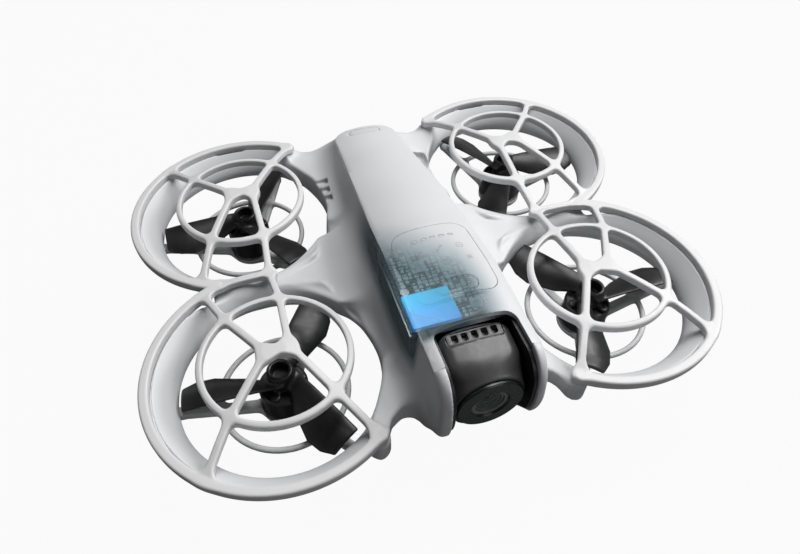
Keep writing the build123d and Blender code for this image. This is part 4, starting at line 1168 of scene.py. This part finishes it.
def lens_material():
    """Coated front glass: clear, with a faint green coating and a painted sheen towards its
    slanted edges.
    """
    paint = Paint("lens_glass", (0.04, 0.09, 0.075), 0.03, IOR=1.7, Alpha=0.26,
                  Specular_IOR_Level=0.9)
    # The colour grows paler where the glass is seen at a slant: a painted sheen.
    layer = paint.add("ShaderNodeLayerWeight")
    layer.inputs["Blend"].default_value = 0.35
    paint.paint(paint.mixed(layer.outputs["Facing"], (0.02, 0.05, 0.045), (0.10, 0.20, 0.17)))
    paint.bump(paint.noise(0.9), 0.0006)
    return paint.material


def barrel_material():
    """Dark green-grey lens rings with fine turned lines."""
    paint = Paint("lens_barrel", (0.12, 0.16, 0.15), 0.24, Metallic=0.25)
    lines = paint.noise(0.09, 1.0, (1, 8, 1))
    paint.paint(paint.mixed(lines, (0.12, 0.16, 0.15), (0.32, 0.40, 0.37)))
    paint.link(paint.ramp(lines, 0.3, 0.7, 0.18, 0.32), paint.shader.inputs["Roughness"])
    paint.bump(lines, 0.002)
    return paint.material


materials = {
    "shell": shell_material(),
    "cover": cover_material(),
    "guard": moulded("guard", guard_grey, 0.44, vary=0.025).material,
    "cage": moulded("cage", (0.57, 0.575, 0.58), 0.46).material,
    "button": moulded("button", (0.585, 0.59, 0.60), 0.42).material,
    "icons": moulded("icons", (0.27, 0.28, 0.30), 0.5, depth=0.002).material,
    "lights": moulded("lights", (0.50, 0.52, 0.54), 0.25, depth=0.001).material,
    "propeller": carbon_black("propeller"),
    "bell": moulded("bell", (0.014, 0.014, 0.015), 0.32, grain=0.3, vary=0.25).material,
    "stator": metal("stator", (0.45, 0.27, 0.14), 0.4, (1, 1, 6)).material,
    "liner": liner_material(),
    "camera_body": moulded("camera_body", (0.052, 0.052, 0.054), 0.34, depth=0.004,
                           vary=0.05).material,
    "camera_trim": moulded("camera_trim", (0.052, 0.052, 0.054), 0.34, depth=0.004).material,
    "lens_plate": moulded("lens_plate", (0.010, 0.016, 0.015), 0.26, depth=0.0006,
                          vary=0.1).material,
    "lens_barrel": barrel_material(),
    "lens_core": moulded("lens_core", (0.004, 0.006, 0.006), 0.08, depth=0.0004).material,
    "lens_glass": lens_material(),
    "steel": metal("steel", (0.56, 0.56, 0.58), 0.28, (6, 6, 1)).material,
    "board": board_material(),
    # The board parts get a faint pale teal emission: a painted glow, they are no lamps.
    "components": moulded("components", (0.50, 0.70, 0.74), 0.32, grain=0.1, cloud=1.3,
                          vary=0.6, Emission_Color=(0.45, 0.72, 0.78, 1),
                          Emission_Strength=0.10).material,
    "frame_metal": metal("frame_metal", (0.38, 0.45, 0.48), 0.35, (1, 5, 1)).material,
    "chip": chip_material(),
    "silicone": silicone_material(),
    "belly": moulded("belly", (0.05, 0.05, 0.053), 0.5).material,
    "sensor": moulded("sensor", (0.012, 0.013, 0.016), 0.15, depth=0.001,
                      Coat_Weight=0.8).material,
    "battery": moulded("battery", (0.50, 0.505, 0.515), 0.5).material,
    "cells": moulded("cells", (0.16, 0.19, 0.23), 0.3, cloud=6, vary=0.1).material,
    "latch": moulded("latch", (0.33, 0.335, 0.34), 0.5).material,
    "contacts": metal("contacts", (0.75, 0.55, 0.25), 0.25).material,
    "antenna": metal("antenna", (0.62, 0.40, 0.22), 0.35).material,
}


def control_material(name, roughness, most_open):
    """Plate or button over the window, clear in the same place as the cover."""
    paint = moulded(name, scaled(shell_grey, 1.01), roughness)
    return windowed(paint, over_board(paint), window_haze, most_open).material


materials["panel_plate"] = control_material("panel_plate", 0.4, 0.91)
materials["mode_button"] = control_material("mode_button", 0.38, 0.91)

cad_finish = {
    "camera_bay_liner": "liner", "guard_screws": "steel", "main_board": "board",
    "board_frame": "frame_metal", "storage_chip": "chip", "board_screws": "frame_metal",
    "belly_cover": "belly", "belly_screws": "steel", "vision_camera": "sensor",
    "distance_sensor": "sensor", "usb_socket": "steel", "tilt_motor": "bell",
    "speed_controller_board": "board", "antennas": "antenna",
    "battery_connector": "contacts", "button_switches": "silicone",
    "lens_plate": "lens_plate", "image_sensor_board": "board", "tilt_pins": "steel",
    "battery_case": "battery",
    "battery_cells": "cells", "battery_contacts": "contacts",
    "battery_latch_left": "latch", "battery_latch_right": "latch",
}
for corner in corners:
    cad_finish[f"motor_bell_{corner}"] = "bell"
    cad_finish[f"motor_stator_{corner}"] = "stator"
for node, finish in cad_finish.items():
    mesh = nodes[node].data
    mesh.materials.clear()
    mesh.materials.append(materials[finish])


# ---------------------------------------------------------------- making the pieces
def make_airframe():
    points, quads = isosurface(airframe_field())
    mesh = thinned(make_mesh("airframe", points, quads), 0.45)
    replaced = ["airframe_shell"] + [f"duct_{corner}" for corner in corners]
    new_piece("airframe", mesh, "airframe", replaced, materials["shell"])


def make_guards():
    points, quads = isosurface(guard_field())
    for name, side in (("guard_left", 1), ("guard_right", -1)):
        faces = quads if side > 0 else quads[:, ::-1]
        mesh = make_mesh(name, points * (side, 1, 1), faces)
        new_piece(f"{name}_moulding", mesh, "airframe", [name], materials["guard"])


def make_cages():
    points, quads = isosurface(cage_field())
    for corner in corners:
        x, y = rotor_centre(corner)
        side = 1 if x > 0 else -1
        faces = quads if side > 0 else quads[:, ::-1]
        mesh = make_mesh(f"cage_{corner}", points * (side, 1, 1) + (x, y, 0), faces)
        new_piece(f"cage_{corner}", mesh, "airframe", [f"motor_cage_{corner}"],
                  materials["cage"])


first_blade = {"front_left": 0, "front_right": 58, "rear_left": 0, "rear_right": 60}
turn = {"front_left": -1, "front_right": 1, "rear_left": 1, "rear_right": -1}


def make_propellers():
    points, quads = isosurface(propeller_field())
    for corner in corners:
        x, y = rotor_centre(corner)
        angle = math.radians(first_blade[corner])
        c, s = math.cos(angle), math.sin(angle)
        around = points * (1, turn[corner], 1)
        placed = np.stack((around[:, 0] * c - around[:, 1] * s + x,
                           around[:, 0] * s + around[:, 1] * c + y, around[:, 2]), 1)
        faces = quads if turn[corner] > 0 else quads[:, ::-1]
        mesh = make_mesh(f"propeller_{corner}", placed, faces)
        new_piece(f"blades_{corner}", mesh, f"rotor_{corner}",
                  [f"propeller_{corner}"], materials["propeller"])


def merged_mesh(name, plates):
    """One mesh from several."""
    merged = bmesh.new()
    for plate in plates:
        merged.from_mesh(plate)
    mesh = bpy.data.meshes.new(name)
    merged.to_mesh(mesh)
    merged.free()
    return mesh


def make_spine():
    plates, lights = outlines()
    cover = spine_plate("cover", plates["cover"], cover_thickness, mitred=True)
    new_piece("spine_cover", cover, "airframe", ["top_cover"], materials["cover"])
    panel = spine_plate("panel", plates["panel"], 0.6, 0.07)
    new_piece("touch_panel", panel, "airframe", ["control_panel"],
              materials["panel_plate"])
    for name, finish, thick in (("mode_button", "mode_button", 0.6),
                                ("power_button", "button", 1.4)):
        mesh = spine_plate(name, plates[name], thick, 0.12, sink=0.02)
        new_piece(f"{name}_cap", mesh, name, [name], materials[finish])
    mesh = merged_mesh("lights", [spine_plate(f"light_{n}", [light], 0.6, 0.08, sink=0.03,
                                              pitch=0.8) for n, light in enumerate(lights)])
    new_piece("status_light_pipes", mesh, "airframe", ["status_lights"],
              materials["lights"])


def make_camera_unit():
    points, quads = isosurface(camera_field())
    housing = thinned(make_mesh("camera_housing_moulding", points, quads), 0.6)
    new_piece("camera_housing_moulding", housing, "camera",
              ["camera_housing"], materials["camera_body"])
    panel = spine_plate("camera_vents", vent_plate(), 0.7, 0.08, sink=0.03, pitch=20,
                        surface=housing_top)
    new_piece("camera_vents", panel, "camera", ["camera_vent_panel"],
              materials["camera_trim"])
    front = camera_front_y
    steps = [(4.9, front + 7), (4.9, front - 0.3), (4.8, front - 0.4), (4.5, front - 0.4)]
    radius, y = 4.35, front - 0.15
    while radius > 1.9:
        steps += [(radius, y), (radius - 0.12, y - 0.09), (radius - 0.5, y - 0.05)]
        radius, y = radius - 0.62, y + 0.42
    steps += [(1.6, y), (1.5, y + 0.6), (0.02, y + 0.7)]
    lathe("lens_rings", steps, "camera", ["lens_barrel"],
          materials["lens_barrel"])
    core = [(1.55 * math.cos(t), y + 0.5 - 0.8 * math.sin(t))
            for t in np.linspace(0, math.pi / 2 - 0.02, 9)]
    lathe("lens_core", core, "camera", (), materials["lens_core"])
    dome = [(4.25 * math.sin(t), front + 3.3 - 4.45 * math.cos(t))
            for t in np.linspace(0.01, 0.82, 14)]
    dome = [(r, min(y, front + 0.1)) for r, y in dome] + [(4.4, front + 0.1), (4.4, front + 0.5),
                                                         (0.02, front + 0.5)]
    lathe("lens_dome", dome[::-1], "camera", ["lens_glass"],
          materials["lens_glass"])


def make_board_parts():
    parts = make_boxes("board_parts", component_boxes() + chip_pads(), board_top)
    new_piece("board_parts", parts, "airframe", ["board_components"],
              materials["components"])


def make_icons():
    mesh = merged_mesh("icons", [spine_plate(f"icon_{n}", sign, 0.12, 0.01, sink=-0.015,
                                             pitch=0.8)
                                 for n, sign in enumerate(icon_outlines())])
    new_piece("panel_icons", mesh, "airframe", (), materials["icons"])


make_airframe()
make_guards()
make_camera_unit()
make_board_parts()
make_icons()
make_cages()
make_propellers()
make_spine()


# ---------------------------------------------------------------- floor, light and camera
floor_half, floor_drop = 3.0, 0.0004
floor_white = 0.95      # share of plain white that the camera sees in the floor


def make_floor():
    mesh = bpy.data.meshes.new("floor")
    half = floor_half
    mesh.from_pydata([(-half, -half, 0), (half, -half, 0), (half, half, 0), (-half, half, 0)],
                     [], [(0, 1, 2, 3)])
    floor = bpy.data.objects.new("floor", mesh)
    bpy.context.scene.collection.objects.link(floor)
    floor.location.z = -floor_drop
    material = bpy.data.materials.new("floor")
    material.use_nodes = True
    tree = material.node_tree
    tree.nodes.clear()
    output = tree.nodes.new("ShaderNodeOutputMaterial")
    mix = tree.nodes.new("ShaderNodeMixShader")
    bright = tree.nodes.new("ShaderNodeEmission")
    bright.inputs["Color"].default_value = (1, 1, 1, 1)
    bright.inputs["Strength"].default_value = 1.0
    matt = tree.nodes.new("ShaderNodeBsdfDiffuse")
    matt.inputs["Color"].default_value = (0.16, 0.16, 0.164, 1)
    path = tree.nodes.new("ShaderNodeLightPath")
    share = tree.nodes.new("ShaderNodeMath")
    share.operation = "MULTIPLY"
    share.inputs[1].default_value = floor_white
    tree.links.new(path.outputs["Is Camera Ray"], share.inputs[0])
    tree.links.new(share.outputs[0], mix.inputs["Fac"])
    tree.links.new(matt.outputs[0], mix.inputs[1])
    tree.links.new(bright.outputs[0], mix.inputs[2])
    tree.links.new(mix.outputs[0], output.inputs["Surface"])
    mesh.materials.append(material)


def make_world():
    world = bpy.data.worlds.new("studio")
    bpy.context.scene.world = world
    world.use_nodes = True
    tree = world.node_tree
    background = tree.nodes["Background"]
    path = tree.nodes.new("ShaderNodeLightPath")
    strength = tree.nodes.new("ShaderNodeMapRange")
    strength.inputs["To Min"].default_value = 0.06
    strength.inputs["To Max"].default_value = 1.0
    tree.links.new(path.outputs["Is Camera Ray"], strength.inputs["Value"])
    tree.links.new(strength.outputs["Result"], background.inputs["Strength"])
    background.inputs["Color"].default_value = (0.97, 0.98, 1.0, 1)


def make_light(name, place, size, power, colour=(1, 1, 1)):
    """Square soft box aimed at the middle of the object."""
    light = bpy.data.lights.new(name, "AREA")
    light.size, light.energy, light.color = size, power, colour
    lamp = bpy.data.objects.new(name, light)
    bpy.context.scene.collection.objects.link(lamp)
    lamp.location = Vector(place)
    aim = Vector((0, 0, 0.02)) - lamp.location
    lamp.rotation_euler = aim.to_track_quat("-Z", "Y").to_euler()


def make_camera():
    """View from the right front, well above."""
    azimuth, elevation, distance = math.radians(-17.9), math.radians(49.0), 0.1679
    back = Vector((math.sin(azimuth) * math.cos(elevation),
                   -math.cos(azimuth) * math.cos(elevation), math.sin(elevation)))
    data = bpy.data.cameras.new("camera")
    data.lens, data.sensor_width, data.clip_start = 26.96, 36, 0.005
    camera = bpy.data.objects.new("camera", data)
    camera.location = Vector((-7.0, -12.9, rim_top)) * MM + back * distance
    camera.rotation_euler = (-back).to_track_quat("-Z", "Y").to_euler()
    bpy.context.scene.collection.objects.link(camera)
    bpy.context.scene.camera = camera


make_floor()
make_world()
make_light("key", (0.44, 0.04, 0.42), 0.30, 2.6)
make_light("top", (0.16, 0.16, 0.62), 0.34, 2.9)
make_light("front", (0.22, -0.60, 0.35), 0.35, 0.45)
make_camera()
bpy.context.scene.view_settings.view_transform = "Standard"
